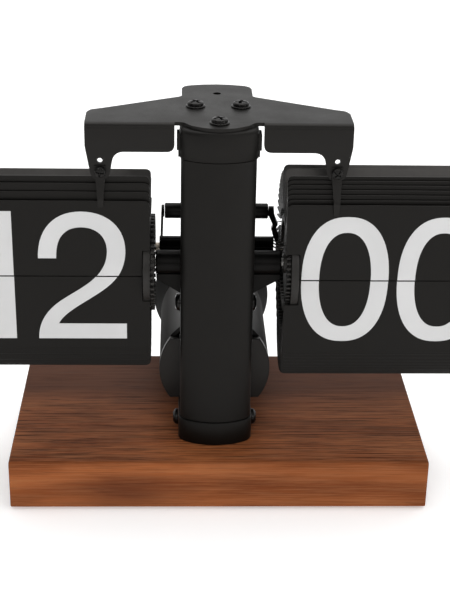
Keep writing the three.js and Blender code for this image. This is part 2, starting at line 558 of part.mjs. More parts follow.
function buildDrums() {
  const hourDrum = drumProfile(HOUR, AXLE_R + GAP);
  add('hour_drum', turnedX(mirrorProfile(hourDrum, HOUR.side), AXLE_Y, AXLE_Z, 28), mattBlack);
  add('hour_ring', ringGeometry(HOUR), mattBlack);
  const minuteDrum = drumProfile(MINUTE, AXLE_R + 0.05);
  add('minute_drum', turnedX(mirrorProfile(minuteDrum, MINUTE.side), AXLE_Y, AXLE_Z, 28), mattBlack);
  add('minute_ring', ringGeometry(MINUTE), mattBlack);

  const axleEnd = CARD_INNER + CARD_WIDTH + 1.5;
  add('main_axle', rodX(AXLE_R, -axleEnd - 3, axleEnd + 3, AXLE_Y, AXLE_Z, 16), steel);
  const nut = [[-axleEnd - 2.6, AXLE_R + 0.05], [-axleEnd - 2.6, 4.4], [-axleEnd, 5], [-axleEnd, AXLE_R + 0.05],
    [-axleEnd - 2.6, AXLE_R + 0.05]];
  add('axle_collar', turnedX(nut, AXLE_Y, AXLE_Z, 16), blackSteel);
  const knob = [[axleEnd, AXLE_R + 0.05], [axleEnd, 6], [axleEnd + 1, 7], [axleEnd + 6, 7], [axleEnd + 7, 6],
    [axleEnd + 7, 0], [axleEnd + 3.3, 0], [axleEnd + 3.3, AXLE_R + 0.05], [axleEnd, AXLE_R + 0.05]];
  add('setting_knob', turnedX(knob, AXLE_Y, AXLE_Z, 16), mattBlack);
}

// ---------------------------------------------------------------- cards
// Where card number n behind the front one hangs: its hinge edge (back from the front row, and up from
// the axle) and its lean back from upright, in degrees. Angles grow from the front over the top. Cards
// near the front stand on their pins with their tips against the front card, cards over the back lie
// on the pins behind them, and the rest hang down, the lowest ones against the front card again.
function cardPose(drum, angle, n) {
  const hinge = drum.pinRadius - 0.6;
  const back = drum.pinRadius - hinge * Math.cos(radians(angle));
  const up = hinge * Math.sin(radians(angle));
  const stacked = Math.max(back, n * CARD_PITCH);
  if (angle <= drum.upright) {
    const reach = (n * drum.tipPitch - stacked) / CARD_HEIGHT;
    return { back: stacked, up, lean: THREE.MathUtils.radToDeg(Math.asin(reach)) };
  }
  const step = 360 / drum.cards;
  const pinPitch = 2 * hinge * Math.sin(radians(step / 2));
  const fanOut = THREE.MathUtils.radToDeg(Math.asin(CARD_PITCH / pinPitch));
  const tilt = drum.fanTilt * Math.max(0, 1 - angle / FAN_END);
  const lean = Math.min(angle + step / 2 - fanOut + tilt, 180);
  return { back: angle > 270 ? stacked : back, up, lean };
}

function cardBlock(drum, angle) {
  const start = CARD_INNER;
  const end = CARD_INNER + CARD_WIDTH;
  const x0 = drum.side > 0 ? start : -end;
  const x1 = drum.side > 0 ? end : -start;
  const count = Math.round(angle * drum.cards / 360);
  const pose = cardPose(drum, angle, Math.min(count, drum.cards - count));
  const card = block(x0, x1, -CARD_THICK / 2, CARD_THICK / 2, 0, CARD_HEIGHT);
  card.rotateX(-radians(pose.lean));
  return card.translate(0, AXLE_Y - drum.pinRadius + pose.back, AXLE_Z + pose.up);
}

// The two discs and the barrel of a drum with running clearance, and the part of the cards' notches that
// a click roller swings through, used to clear the card stacks.
function drumRoom(drum) {
  const inner0 = CARD_INNER - 1;
  const inner1 = CARD_INNER + drum.notch;
  const outer0 = CARD_INNER + CARD_WIDTH - DISC_WIDTH - GAP;
  const outer1 = CARD_INNER + CARD_WIDTH + 1;
  const rod = (radius, from, to) =>
    rodX(radius, drum.side > 0 ? from : -to, drum.side > 0 ? to : -from, AXLE_Y, AXLE_Z, 28);
  const notch0 = drum.side > 0 ? inner0 : -inner1;
  const notch1 = drum.side > 0 ? inner1 : -inner0;
  return [rod(drum.disc + GAP, inner0, inner1), rod(drum.disc + GAP, outer0, outer1),
    rod(drum.pinRadius - BARREL_DROP + 0.4, inner0, outer1),
    block(notch0, notch1, ROLLER_Y - 5, ROLLER_Y + 7, ROLLER_Z - 6.5, ROLLER_Z + 8.5)];
}

// The cards from number first to number last behind the front one, held together along the row of pins.
function cardStack(drum, first, last) {
  const step = 360 / drum.cards;
  const cards = [];
  for (let i = first; i <= last; i += 1) {
    cards.push(cardBlock(drum, i * step));
  }
  const start = drum.side > 0 ? CARD_INNER : -CARD_INNER - CARD_WIDTH;
  const outer = drum.pinRadius - 0.4;
  const inner = drum.pinRadius - BARREL_DROP + 0.5;
  const a0 = Math.PI - radians(last * step);
  const a1 = Math.PI - radians(first * step);
  const spine = new THREE.Shape();
  spine.absarc(AXLE_Y, AXLE_Z, outer, a0, a1, false);
  spine.absarc(AXLE_Y, AXLE_Z, inner, a1, a0, true);
  const bar = extrudeX(spine, start, start + CARD_WIDTH, 14);
  return cut(join(bar, ...cards), ...drumRoom(drum));
}

// One flat card in the front plane: round outer corners, and a notch beside the hinge line at each end.
function cardOutline(drum) {
  const x0 = drum.side > 0 ? CARD_INNER : -CARD_INNER - CARD_WIDTH;
  const x1 = x0 + CARD_WIDTH;
  const leftNotch = drum.side > 0 ? drum.notch : DISC_WIDTH + GAP;
  const rightNotch = drum.side > 0 ? DISC_WIDTH + GAP : drum.notch;
  const r = CARD_CORNER;
  const shape = new THREE.Shape();
  shape.moveTo(x0 + leftNotch, 0);
  shape.lineTo(x1 - rightNotch, 0);
  shape.lineTo(x1 - rightNotch, NOTCH_HEIGHT);
  shape.lineTo(x1, NOTCH_HEIGHT);
  shape.lineTo(x1, CARD_HEIGHT - r);
  shape.absarc(x1 - r, CARD_HEIGHT - r, r, 0, Math.PI / 2);
  shape.lineTo(x0 + r, CARD_HEIGHT);
  shape.absarc(x0 + r, CARD_HEIGHT - r, r, Math.PI / 2, Math.PI);
  shape.lineTo(x0, NOTCH_HEIGHT);
  shape.lineTo(x0 + leftNotch, NOTCH_HEIGHT);
  return shape;
}

function buildCards() {
  for (const [drum, name] of [[HOUR, 'hour'], [MINUTE, 'minute']]) {
    const plane = AXLE_Y - drum.pinRadius - 0.5;
    const outline = cardOutline(drum);
    const upper = extrudeY(outline, 0, CARD_THICK, 4).translate(0, plane - CARD_THICK, AXLE_Z + GAP);
    add(`${name}_card_upper`, upper, cardBlack);
    const lower = extrudeY(outline, 0, CARD_THICK, 4).rotateX(Math.PI);
    lower.translate(0, plane + CARD_THICK + 0.1, AXLE_Z - GAP);
    add(`${name}_card_lower`, lower, cardBlack);
    const half = drum.cards / 2;
    add(`${name}_cards_waiting`, cardStack(drum, 1, half - 1), cardBlack);
    add(`${name}_cards_fallen`, cardStack(drum, half, drum.cards - 1), cardBlack);
  }
}

// ---------------------------------------------------------------- click levers and their posts
function buildClicks() {
  const inside = COLUMN_HALF_WIDTH + GAP;
  add('pivot_bar', turnedX([[-PIVOT_END, 0], [-PIVOT_END, 2.9], [-PIVOT_END + 0.4, 3.3], [-inside, 3.3],
    [-inside, 2.35], [inside, 2.35], [inside, 3.3], [PIVOT_END - 0.4, 3.3], [PIVOT_END, 2.9], [PIVOT_END, 0]],
  PIVOT_Y, PIVOT_Z, 20), blackSteel);
  const toRoller = Math.atan2(ROLLER_Y - PIVOT_Y, PIVOT_Z - ROLLER_Z);
  const reach = Math.hypot(ROLLER_Y - PIVOT_Y, PIVOT_Z - ROLLER_Z);
  // outlines across the levers, as (x, distance up from the pivot)
  const outlines = {
    left: [[-22.4, 2.6], [-23.6, 2.6], [-23.8, -3], [-24.4, -reach - 1.3], [-23.4, -reach - 1.3],
      [-22.8, -3], [-22.4, -2.6]],
    right: [[22.4, 2.6], [24.6, 2.6], [25.2, -3], [27, -8.6], [26.3, -10.8], [27.8, -16.5], [27.8, -21.4],
      [29.2, -22], [29.2, -reach - 1.4], [27, -reach - 1.4], [26.9, -21], [25.6, -18], [24.2, -11.6],
      [24.8, -9], [22.8, -3], [22.4, -2.6]],
  };
  for (const [side, name] of SIDES) {
    const lever = extrudeY(polygon(outlines[name]), -LEVER_HALF[name], LEVER_HALF[name]).rotateX(toRoller);
    add(`click_lever_${name}`, lever.translate(0, PIVOT_Y, PIVOT_Z), blackSteel);
    const [rollerNear, rollerFar] = ROLLER_X[name].map((x) => side * x);
    const roller = rodX(ROLLER_R, Math.min(rollerNear, rollerFar), Math.max(rollerNear, rollerFar),
      ROLLER_Y, ROLLER_Z, 16);
    add(`click_roller_${name}`, roller, cream);
    const postNear = side * (COLUMN_HALF_WIDTH + 0.1);
    const postFar = side * (COLUMN_HALF_WIDTH + POST_LENGTH[name]);
    const section = roundedRectangle(POST_Y - 1.8, POST_Y + 1.8, POST_Z - 3.4, POST_Z + 3.4, 1.7);
    const post = extrudeX(section, Math.min(postNear, postFar), Math.max(postNear, postFar), 3);
    add(`spring_post_${name}`, post, blackSteel);
  }
}

// ---------------------------------------------------------------- gear train inside the column
// A spur gear about the X axis: trapezoid teeth, the first tooth pointing along phase (0 is +Y).
function gearGeometry(teeth, module, x0, x1, phase, y, z) {
  const pitchR = teeth * module / 2;
  const tipR = pitchR + 0.75 * module;
  const rootR = pitchR - 1.15 * module;
  const pitchAngle = 2 * Math.PI / teeth;
  const shape = new THREE.Shape();
  const point = (r, a) => new THREE.Vector2(r * Math.cos(a), r * Math.sin(a));
  const outline = [];
  for (let i = 0; i < teeth; i += 1) {
    const a = phase + i * pitchAngle;
    outline.push(point(rootR, a - 0.26 * pitchAngle), point(tipR, a - 0.1 * pitchAngle));
    outline.push(point(tipR, a + 0.1 * pitchAngle), point(rootR, a + 0.26 * pitchAngle));
  }
  shape.setFromPoints(outline);
  return extrudeX(shape, x0, x1, 8).translate(0, y, z);
}

function buildTrain() {
  const up = Math.PI / 2;
  const down = -Math.PI / 2;
  const half = (teeth) => Math.PI / teeth;

  const motor = [[4.2, 0], [4.2, 8], [4.8, 8.6], [PLATE_X - 0.2, 8.6], [PLATE_X - 0.2, 0]];
  add('motor', turnedX(motor, AXLE_Y, MOTOR_Z, 28), steel);
  const motorTeeth = gearGeometry(MOTOR_TEETH, GEAR_MODULE, 0.5, 3.5, down + half(MOTOR_TEETH), AXLE_Y, MOTOR_Z);
  add('motor_pinion', join(motorTeeth, rodX(0.75, -1.5, 4.1, AXLE_Y, MOTOR_Z, 12)), steel);

  // the minute wheel and the pinion that drives the hour train are one piece on the axle
  const wheel = gearGeometry(DRIVE_TEETH, GEAR_MODULE, 1, 3, up, AXLE_Y, AXLE_Z);
  const cannon = gearGeometry(CANNON_TEETH, TRANSFER_MODULE, -5.5, 1.5, down, AXLE_Y, AXLE_Z);
  const axleBore = rodX(AXLE_R + 0.05, -8, 8, AXLE_Y, AXLE_Z, 24);
  add('minute_wheel', cut(join(wheel, cannon), axleBore), brass);

  const arborPinion = gearGeometry(TRANSFER_PINION_TEETH, GEAR_MODULE, -9.5, -6.5,
    up + half(TRANSFER_PINION_TEETH), AXLE_Y, TRANSFER_Z);
  const arbor = rodX(1, -PLATE_X - 1, PLATE_X + 1, AXLE_Y, TRANSFER_Z, 16);
  add('transfer_arbor', join(arborPinion, arbor), steel);
  const transferGear = gearGeometry(TRANSFER_TEETH, TRANSFER_MODULE, -5, -3, up + half(TRANSFER_TEETH),
    AXLE_Y, TRANSFER_Z);
  add('transfer_gear', cut(transferGear, rodX(1.1, -8, 8, AXLE_Y, TRANSFER_Z, 16)), brass);

  // the hour wheel runs on the axle and reaches the hour drum through the left axle bracket
  const hourGear = gearGeometry(HOUR_TEETH, GEAR_MODULE, -9, -7, down, AXLE_Y, AXLE_Z);
  const tubeEnd = -HOUR.ringTip + GAP;
  const hourTube = turnedX([[tubeEnd, 0], [tubeEnd, 3.45], [-6.6, 3.45], [-6.6, 0]], AXLE_Y, AXLE_Z, 24);
  const tubeBore = rodX(AXLE_R + GAP, tubeEnd - 1, 0, AXLE_Y, AXLE_Z, 24);
  add('hour_wheel', cut(join(hourGear, hourTube), tubeBore), brass);
}
function buildMovementFrame() {
  const plateShape = roundedRectangle(-26.5, 0.5, BASE_TOP + 5.8, CAP_TOP - 4, 2);
  for (const [side, name] of SIDES) {
    const x0 = side > 0 ? PLATE_X : -PLATE_X - PLATE_THICK;
    const x1 = x0 + PLATE_THICK;
    const axle = rodX(side < 0 ? 3.8 : AXLE_R + GAP, x0 - 1, x1 + 1, AXLE_Y, AXLE_Z, 20);
    const arbor = rodX(1.3, x0 - 1, x1 + 1, AXLE_Y, TRANSFER_Z, 12);
    const pivot = rodX(2.7, x0 - 1, x1 + 1, PIVOT_Y, PIVOT_Z, 16);
    add(`movement_plate_${name}`, cut(extrudeX(plateShape, x0, x1, 3), axle, arbor, pivot), steel);
  }
  for (const [z, name] of [[60, 'lower'], [140, 'upper']]) {
    add(`plate_spacer_${name}`, rodX(2, -PLATE_X + 0.1, PLATE_X - 0.1, AXLE_Y, z, 16), brass);
  }
  add('circuit_board', block(-9, 9, -0.2, 1.2, 52, 76), boardGreen);
}

buildBase();
buildColumn();
buildBracket();
buildFingers();
buildBatteryHousing();
buildAxleBrackets();
buildDrums();
buildCards();
buildClicks();
buildTrain();
buildMovementFrame();

export default clock;
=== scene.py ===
"""Flip number clock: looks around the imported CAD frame."""
import json
import math

import bmesh
import bpy
from mathutils import Matrix, Vector


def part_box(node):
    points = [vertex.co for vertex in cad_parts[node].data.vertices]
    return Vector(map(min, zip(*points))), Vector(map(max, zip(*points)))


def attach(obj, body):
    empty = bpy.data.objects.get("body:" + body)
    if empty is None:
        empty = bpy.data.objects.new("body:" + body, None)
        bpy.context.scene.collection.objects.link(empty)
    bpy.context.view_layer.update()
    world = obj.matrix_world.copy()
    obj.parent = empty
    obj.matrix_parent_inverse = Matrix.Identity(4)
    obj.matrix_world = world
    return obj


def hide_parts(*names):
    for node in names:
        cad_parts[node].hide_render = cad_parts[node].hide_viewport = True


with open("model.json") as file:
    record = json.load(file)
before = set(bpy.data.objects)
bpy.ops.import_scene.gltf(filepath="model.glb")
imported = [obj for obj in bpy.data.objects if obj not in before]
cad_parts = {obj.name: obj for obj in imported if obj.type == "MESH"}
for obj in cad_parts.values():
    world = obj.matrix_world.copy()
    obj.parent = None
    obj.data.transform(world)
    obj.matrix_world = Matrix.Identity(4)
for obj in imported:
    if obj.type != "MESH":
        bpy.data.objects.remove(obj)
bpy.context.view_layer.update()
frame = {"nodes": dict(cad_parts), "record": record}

MM = 0.001
NODES = frame["nodes"]

# ---------------- dimensions in mm


def box_mm(node):
    low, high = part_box(node)
    return Vector(low) / MM, Vector(high) / MM


AXLE_Y = -13.5
AXLE_Z = 100.4
CARD_INNER = 28.1
CARD_WIDTH = 91.5
CARD_HEIGHT = 33.2
CARD_THICK = 0.5
CARD_CORNER = 2.6
CARD_PITCH = 0.65
FAN_END = 160
DISC_WIDTH = 2.7
GAP = 0.3
# upright: how far back, in degrees of the drum, the waiting cards stand
# leaning: cards behind the front one that have a lean of their own, in degrees
DRUMS = {
    "hour": dict(side=-1, cards=24, pin=15.2, notch=3.2, upright=50, tip_pitch=0.6, fan_tilt=-6,
                 leaning={4: 45, 5: 60}),
    "minute": dict(side=1, cards=60, pin=18.7, notch=6.0, upright=38, tip_pitch=0.9, fan_tilt=12,
                   leaning={7: 22, 8: 29, 9: 38}),
}
DIGIT_PRINT = 0.06
SIDES = ((-1, "left"), (1, "right"))


# ---------------- material tools


class Paint:
    """A Principled material built up from nodes."""

    def __init__(self, name, color, rough, metal=0.0, specular=0.5):
        self.mat = bpy.data.materials.new(name)
        self.mat.use_nodes = True
        self.tree = self.mat.node_tree
        self.shader = next(n for n in self.tree.nodes if n.type == "BSDF_PRINCIPLED")
        self.shader.inputs["Base Color"].default_value = (*color, 1)
        self.shader.inputs["Roughness"].default_value = rough
        self.shader.inputs["Metallic"].default_value = metal
        self.shader.inputs["Specular IOR Level"].default_value = specular
        self.shader.inputs["Specular Tint"].default_value = (1.0, 0.96, 0.92, 1)
        self.coords = self.tree.nodes.new("ShaderNodeTexCoord").outputs["Object"]

    def node(self, kind, inputs=None, **settings):
        made = self.tree.nodes.new(kind)
        for key, value in settings.items():
            setattr(made, key, value)
        for key, value in (inputs or {}).items():
            if isinstance(value, bpy.types.NodeSocket):
                self.tree.links.new(value, made.inputs[key])
            else:
                made.inputs[key].default_value = value
        return made

    def scaled(self, x, y, z):
        return self.node("ShaderNodeMapping", {"Vector": self.coords, "Scale": (x, y, z)}).outputs[0]

    def noise(self, scale, detail=3.0, rough=0.5, vector=None, distortion=0.0):
        made = self.node(
            "ShaderNodeTexNoise",
            {"Vector": vector or self.coords, "Scale": scale, "Detail": detail,
             "Roughness": rough, "Distortion": distortion},
        )
        return made.outputs["Fac"]

    def ramp(self, factor, stops):
        made = self.node("ShaderNodeValToRGB", {"Fac": factor})
        elements = made.color_ramp.elements
        while len(elements) < len(stops):
            elements.new(0.5)
        for element, (place, color) in zip(elements, stops):
            element.position = place
            element.color = (*color, 1)
        return made.outputs["Color"]

    def grey(self, factor, low, high, start=0.3, end=0.7):
        made = self.node(
            "ShaderNodeMapRange",
            {"Value": factor, "From Min": start, "From Max": end, "To Min": low, "To Max": high},
        )
        return made.outputs[0]

    def mix(self, factor, under, over):
        """Colour under, covered by the plain colour over as far as factor says."""
        made = self.node("ShaderNodeMix", data_type="RGBA")
        sockets = {s.name: s for s in made.inputs if s.enabled}
        self.tree.links.new(factor, sockets["Factor"])
        self.tree.links.new(under, sockets["A"])
        sockets["B"].default_value = (*over, 1)
        return next(s for s in made.outputs if s.enabled)

    def math(self, operation, a, b=0.5):
        return self.node("ShaderNodeMath", {0: a, 1: b}, operation=operation).outputs[0]

    def times(self, a, b):
        return self.math("MULTIPLY", a, b)

    def axis(self, name):
        return self.node("ShaderNodeSeparateXYZ", {"Vector": self.coords}).outputs[name]

    def drive(self, **sockets):
        names = {"color": "Base Color", "rough": "Roughness", "normal": "Normal"}
        for key, value in sockets.items():
            self.tree.links.new(value, self.shader.inputs[names[key]])
        return self

    def bump(self, height, distance, strength):
        inputs = {"Height": height, "Distance": distance, "Strength": strength}
        return self.node("ShaderNodeBump", inputs).outputs["Normal"]


def speckled(name, color, rough, grain, bump=0.00002, spread=0.25, rough_spread=0.12,
             specular=0.5, strength=0.4, broad=60.0):
    """Painted or moulded surface: fine texture in the bump, slow drifts in colour and gloss."""
    paint = Paint(name, color, rough, specular=specular)
    drift = paint.noise(broad, 4.0, 0.6)
    fine = paint.noise(grain, 2.0, 0.6)
    dark = tuple(c * (1 - spread) for c in color)
    light = tuple(min(1.0, c * (1 + spread)) for c in color)
    paint.drive(color=paint.ramp(drift, [(0.35, dark), (0.65, light)]))
    gloss = paint.math("ADD", paint.grey(drift, -rough_spread / 2, rough_spread / 2),
                       paint.grey(fine, rough - rough_spread / 2, rough + rough_spread / 2))
    paint.drive(rough=gloss, normal=paint.bump(fine, bump, strength))
    return paint


def turned_metal(name, color, rough, axis_scale):
    """Bright metal with fine machining marks."""
    paint = Paint(name, color, rough, 1.0)
    marks = paint.noise(1500.0, 3.0, 0.7, paint.scaled(*axis_scale))
    drift = paint.noise(120.0, 3.0)
    dark = tuple(c * 0.82 for c in color)
    paint.drive(color=paint.ramp(drift, [(0.3, dark), (0.7, color)]),
                rough=paint.grey(marks, rough * 0.8, min(1.0, rough * 1.4)),
                normal=paint.bump(marks, 0.00001, 0.3))
    return paint


WALNUT_DARK = (0.058, 0.015, 0.005)
WALNUT_WARM = (0.115, 0.030, 0.009)
WALNUT_FIBRE = (0.400, 0.170, 0.076)
WALNUT_KNOT = (0.060, 0.018, 0.010)
WALNUT_PAINTED_SHADE = (0.066, 0.024, 0.012)
WALNUT_PORE = (0.030, 0.008, 0.003)
KNOT = (-0.0125, 0.0, 0.0075)
KNOT_REACH = 0.0125
ARCH = (0.002, 0.0, -0.004)


def walnut():
    """Oiled walnut. Streaks, fibres and pores run along X on top; the front face has broad arches and one
    dark knot. Painted shade darkens the board towards its rear, under the card row."""
    paint = Paint("walnut", (0.2, 0.1, 0.06), 0.42, specular=0.05)
    depth = paint.axis("Y")
    front = box_mm("base_board")[0].y * MM
    off_front = paint.grey(depth, 0.28, 1.0, front + 0.0003, front + 0.0031)

    warp = paint.noise(9.0, 3.0, 0.5, paint.scaled(1.0, 2.4, 2.4))
    spread = paint.node("ShaderNodeCombineXYZ", {"X": 0.0, "Y": paint.grey(warp, -0.014, 0.014, 0.2, 0.8),
                                                 "Z": paint.grey(warp, 0.012, -0.012, 0.2, 0.8)}).outputs[0]
    bent = paint.node("ShaderNodeVectorMath", {0: paint.coords, 1: spread}, operation="ADD").outputs[0]

    def along(x, y, z):
        return paint.node("ShaderNodeMapping", {"Vector": bent, "Scale": (x, y, z)}).outputs[0]

    def distance(vector, place):
        return paint.node("ShaderNodeVectorMath", {0: vector, 1: place}, operation="DISTANCE").outputs["Value"]

    bands = paint.noise(85.0, 4.0, 0.62, along(0.12, 1.0, 1.3))
    broad = paint.noise(34.0, 3.0, 0.55, along(0.30, 1.0, 1.6))
    arch = distance(paint.scaled(0.16, 0.0, 1.0), ARCH)
    phase = paint.math("ADD", paint.times(arch, 420.0), paint.times(broad, 8.0))
    arches = paint.grey(paint.math("SINE", phase), 0.37, 0.64, -1.0, 1.0)
    figure = paint.math("ADD", paint.times(bands, off_front),
                        paint.times(arches, paint.math("SUBTRACT", 1.0, off_front)))
    streaks = paint.noise(640.0, 5.0, 0.74, paint.scaled(0.034, 1.0, 0.8))
    fibres = paint.noise(2300.0, 3.0, 0.68, paint.scaled(0.016, 1.0, 1.0))
    pores = paint.noise(1700.0, 2.0, 0.55, paint.scaled(0.030, 1.0, 1.0))
    patches = paint.noise(13.0, 2.0, 0.5, paint.scaled(0.5, 1.0, 1.6))
    knot = distance(paint.scaled(0.34, 0.0, 1.0), KNOT)

    color = paint.ramp(figure, [(0.30, (0.120, 0.032, 0.010)), (0.44, (0.240, 0.068, 0.021)),
                                (0.58, (0.345, 0.106, 0.034)), (0.72, (0.430, 0.148, 0.051))])
    color = paint.mix(paint.times(paint.grey(streaks, 0.0, 0.92, 0.49, 0.61), off_front), color, WALNUT_DARK)
    color = paint.mix(paint.grey(patches, 0.0, 0.34, 0.45, 0.66), color, WALNUT_WARM)
    fibre_strength = paint.grey(off_front, 0.60, 1.0, 0.28, 1.0)
    fibred = paint.times(paint.grey(fibres, 0.0, 0.52, 0.43, 0.62), fibre_strength)
    color = paint.mix(fibred, color, WALNUT_FIBRE)
    on_front = paint.grey(depth, 1.0, 0.0, front + 0.0006, front + 0.0071)
    color = paint.mix(paint.times(paint.grey(knot, 0.60, 0.0, 0.001, KNOT_REACH), on_front), color, WALNUT_KNOT)
    # painted shade: the board darkens towards its rear, where the card row shades it
    color = paint.mix(paint.grey(depth, 0.0, 0.93, -0.012, 0.016), color, WALNUT_PAINTED_SHADE)
    color = paint.mix(paint.times(paint.grey(pores, 0.0, 0.80, 0.58, 0.68), off_front), color, WALNUT_PORE)
    relief = paint.math("SUBTRACT", paint.times(fibres, 0.35), paint.grey(pores, 0.0, 1.0, 0.58, 0.74))
    paint.drive(color=color, rough=paint.grey(streaks, 0.38, 0.56), normal=paint.bump(relief, 0.00006, 0.55))
    return paint


def end_grain():
    """The sawn end of the board: growth rings cut across, with open pores."""
    paint = Paint("walnut_end", (0.12, 0.05, 0.03), 0.55, specular=0.16)
    rings = paint.node(
        "ShaderNodeTexWave",
        {"Vector": paint.scaled(0.2, 1.0, 1.0), "Scale": 42.0, "Distortion": 3.2, "Detail": 3.0,
         "Detail Scale": 1.6},
        wave_type="RINGS", rings_direction="X",
    ).outputs["Fac"]
    pores = paint.noise(1700.0, 2.0, 0.6)
    color = paint.ramp(rings, [(0.2, (0.105, 0.033, 0.013)), (0.6, (0.150, 0.050, 0.020)),
                               (0.9, (0.185, 0.064, 0.026))])
    dotted = paint.mix(paint.grey(pores, 0.0, 0.8, 0.58, 0.68), color, (0.02, 0.01, 0.007))
    paint.drive(color=dotted, rough=paint.grey(rings, 0.5, 0.66), normal=paint.bump(pores, 0.00005, 0.5))
    return paint


def felt_pad():
    paint = Paint("felt_pad", (0.02, 0.02, 0.02), 0.95)
    fibres = paint.noise(2600.0, 4.0, 0.7, distortion=1.2)
    paint.drive(color=paint.ramp(fibres, [(0.3, (0.008, 0.008, 0.009)), (0.7, (0.045, 0.045, 0.047))]),
                normal=paint.bump(fibres, 0.0003, 0.9))
    paint.shader.inputs["Sheen Weight"].default_value = 0.4
    return paint


def printed_white():
    paint = Paint("printed_white", (0.60, 0.60, 0.60), 0.5)
    grain = paint.noise(2400.0, 2.0, 0.6)
    drift = paint.noise(40.0, 3.0)
    paint.drive(color=paint.ramp(drift, [(0.35, (0.59, 0.59, 0.59)), (0.65, (0.63, 0.63, 0.63))]),
                rough=paint.grey(grain, 0.42, 0.58), normal=paint.bump(grain, 0.00001, 0.25))
    return paint


def circuit_green():
    paint = Paint("circuit_green", (0.02, 0.1, 0.05), 0.35)
    tracks = paint.node(
        "ShaderNodeTexBrick",
        {"Vector": paint.coords, "Scale": 260.0, "Mortar Size": 0.03, "Color1": (0.015, 0.09, 0.04, 1),
         "Color2": (0.02, 0.12, 0.055, 1), "Mortar": (0.03, 0.2, 0.09, 1)},
    )
    paint.drive(color=tracks.outputs["Color"], rough=paint.grey(paint.noise(900.0), 0.25, 0.45))
    return paint


def cell_sleeve():
    paint = Paint("cell_sleeve", (0.3, 0.22, 0.08), 0.3, 0.3)
    black, gold = (0.02, 0.02, 0.02), (0.42, 0.26, 0.08)
    sleeve = paint.ramp(paint.grey(paint.axis("Y"), 0.0, 1.0, 0.01, 0.07),
                        [(0.0, black), (0.66, black), (0.68, gold), (1.0, gold)])
    paint.drive(color=sleeve, rough=paint.grey(paint.noise(90.0), 0.2, 0.36))
    return paint


def tube_gloss():
    """Black lacquer on the battery can: polished along the top, dull down its sides."""
    paint = Paint("tube_gloss", (0.004, 0.004, 0.004), 0.5, specular=0.30)
    drift = paint.noise(60.0, 3.0)
    fine = paint.noise(1800.0, 2.0)
    side = paint.grey(paint.axis("Z"), 0.97, 0.22, 0.060, 0.0705)
    paint.drive(color=paint.ramp(drift, [(0.35, (0.0035, 0.0035, 0.0034)), (0.65, (0.006, 0.0058, 0.0056))]),
                rough=paint.math("ADD", side, paint.grey(drift, -0.03, 0.03)),
                normal=paint.bump(fine, 0.00001, 0.2))
    return paint


PAINTS = {
    "walnut": walnut(),
    "end": end_grain(),
    "felt": felt_pad(),
    "matt_black": speckled("matt_black", (0.0046, 0.0043, 0.0038), 0.50, grain=4200.0, bump=0.00003,
                           strength=0.5, specular=0.16),
    "flat_black": speckled("flat_black", (0.0060, 0.0058, 0.0054), 0.8, grain=3600.0, bump=0.00003,
                           strength=0.5, specular=0.03),
    "grey_sheet": speckled("grey_sheet", (0.0040, 0.0037, 0.0033), 0.44, grain=4600.0, bump=0.00003,
                           strength=0.5, specular=0.22),
    "card_black": speckled("card_black", (0.0046, 0.0043, 0.0038), 0.5, grain=5200.0, bump=0.000015,
                           strength=0.35, spread=0.12, broad=30.0, specular=0.16),
    # painted highlight: the card edges are lighter than the faces, for the light they catch from above
    "card_edge_painted_highlight": speckled("card_edge_painted_highlight", (0.020, 0.019, 0.018), 0.42, grain=5200.0, bump=0.00001,
                          strength=0.3, specular=0.32),
    # painted highlight: a much lighter black for the cards that lean into the light
    "card_painted_highlight": speckled("card_painted_highlight", (0.038, 0.036, 0.034), 0.36, grain=5200.0, bump=0.00001,
                           strength=0.3, specular=0.45),
    "cast_black": speckled("cast_black", (0.0030, 0.0029, 0.0028), 0.36, grain=1600.0, bump=0.00001,
                           rough_spread=0.05, specular=0.10),
    # lighter than the other blacks; on the can's front flange this is painted light over the column's shadow
    "moulded_black": speckled("moulded_black", (0.0120, 0.0115, 0.0108), 0.42, grain=3500.0, specular=0.28),
    "gloss_black": tube_gloss(),
    "black_steel": speckled("black_steel", (0.0035, 0.0034, 0.0033), 0.30, grain=2600.0, specular=0.22),
    "steel": turned_metal("steel", (0.62, 0.61, 0.59), 0.3, (1, 0.1, 1)),
    "brass": turned_metal("brass", (0.72, 0.54, 0.24), 0.28, (1, 0.2, 1)),
    "cream": speckled("cream", (0.86, 0.74, 0.60), 0.4, grain=2200.0, spread=0.12, broad=300.0),
    "board": circuit_green(),
    "cell": cell_sleeve(),
    "white": printed_white(),
}


# ---------------- mesh tools


def finish_mesh(name, bm, paints, body, angle=35.0, bevel=0.0, segments=2, replaces=()):
    """Turns a bmesh in mm into a smooth-shaded piece in metres that rides on a body."""
    bmesh.ops.remove_doubles(bm, verts=bm.verts, dist=1e-5)
    bmesh.ops.recalc_face_normals(bm, faces=bm.faces)
    bmesh.ops.scale(bm, vec=(MM, MM, MM), verts=bm.verts)
    mesh = bpy.data.meshes.new(name)
    bm.to_mesh(mesh)
    bm.free()
    made = bpy.data.objects.new(name, mesh)
    bpy.context.scene.collection.objects.link(made)
    for paint in paints:
        mesh.materials.append(PAINTS[paint].mat)
    if bevel:
        round_edges(made, bevel, segments, angle)
    mesh.shade_smooth()
    mesh.set_sharp_from_angle(angle=math.radians(angle))
    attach(made, body)
    if replaces:
        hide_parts(*replaces)


def round_edges(piece, width, segments, angle):
    edge = piece.modifiers.new("edge", "BEVEL")
    edge.width = width * MM
    edge.segments = segments
    edge.limit_method = "ANGLE"
    edge.angle_limit = math.radians(angle)


def place(axis, along, u, v):
    if axis == "X":
        return (along, u, v)
    if axis == "Y":
        return (u, along, v)
    return (u, v, along)


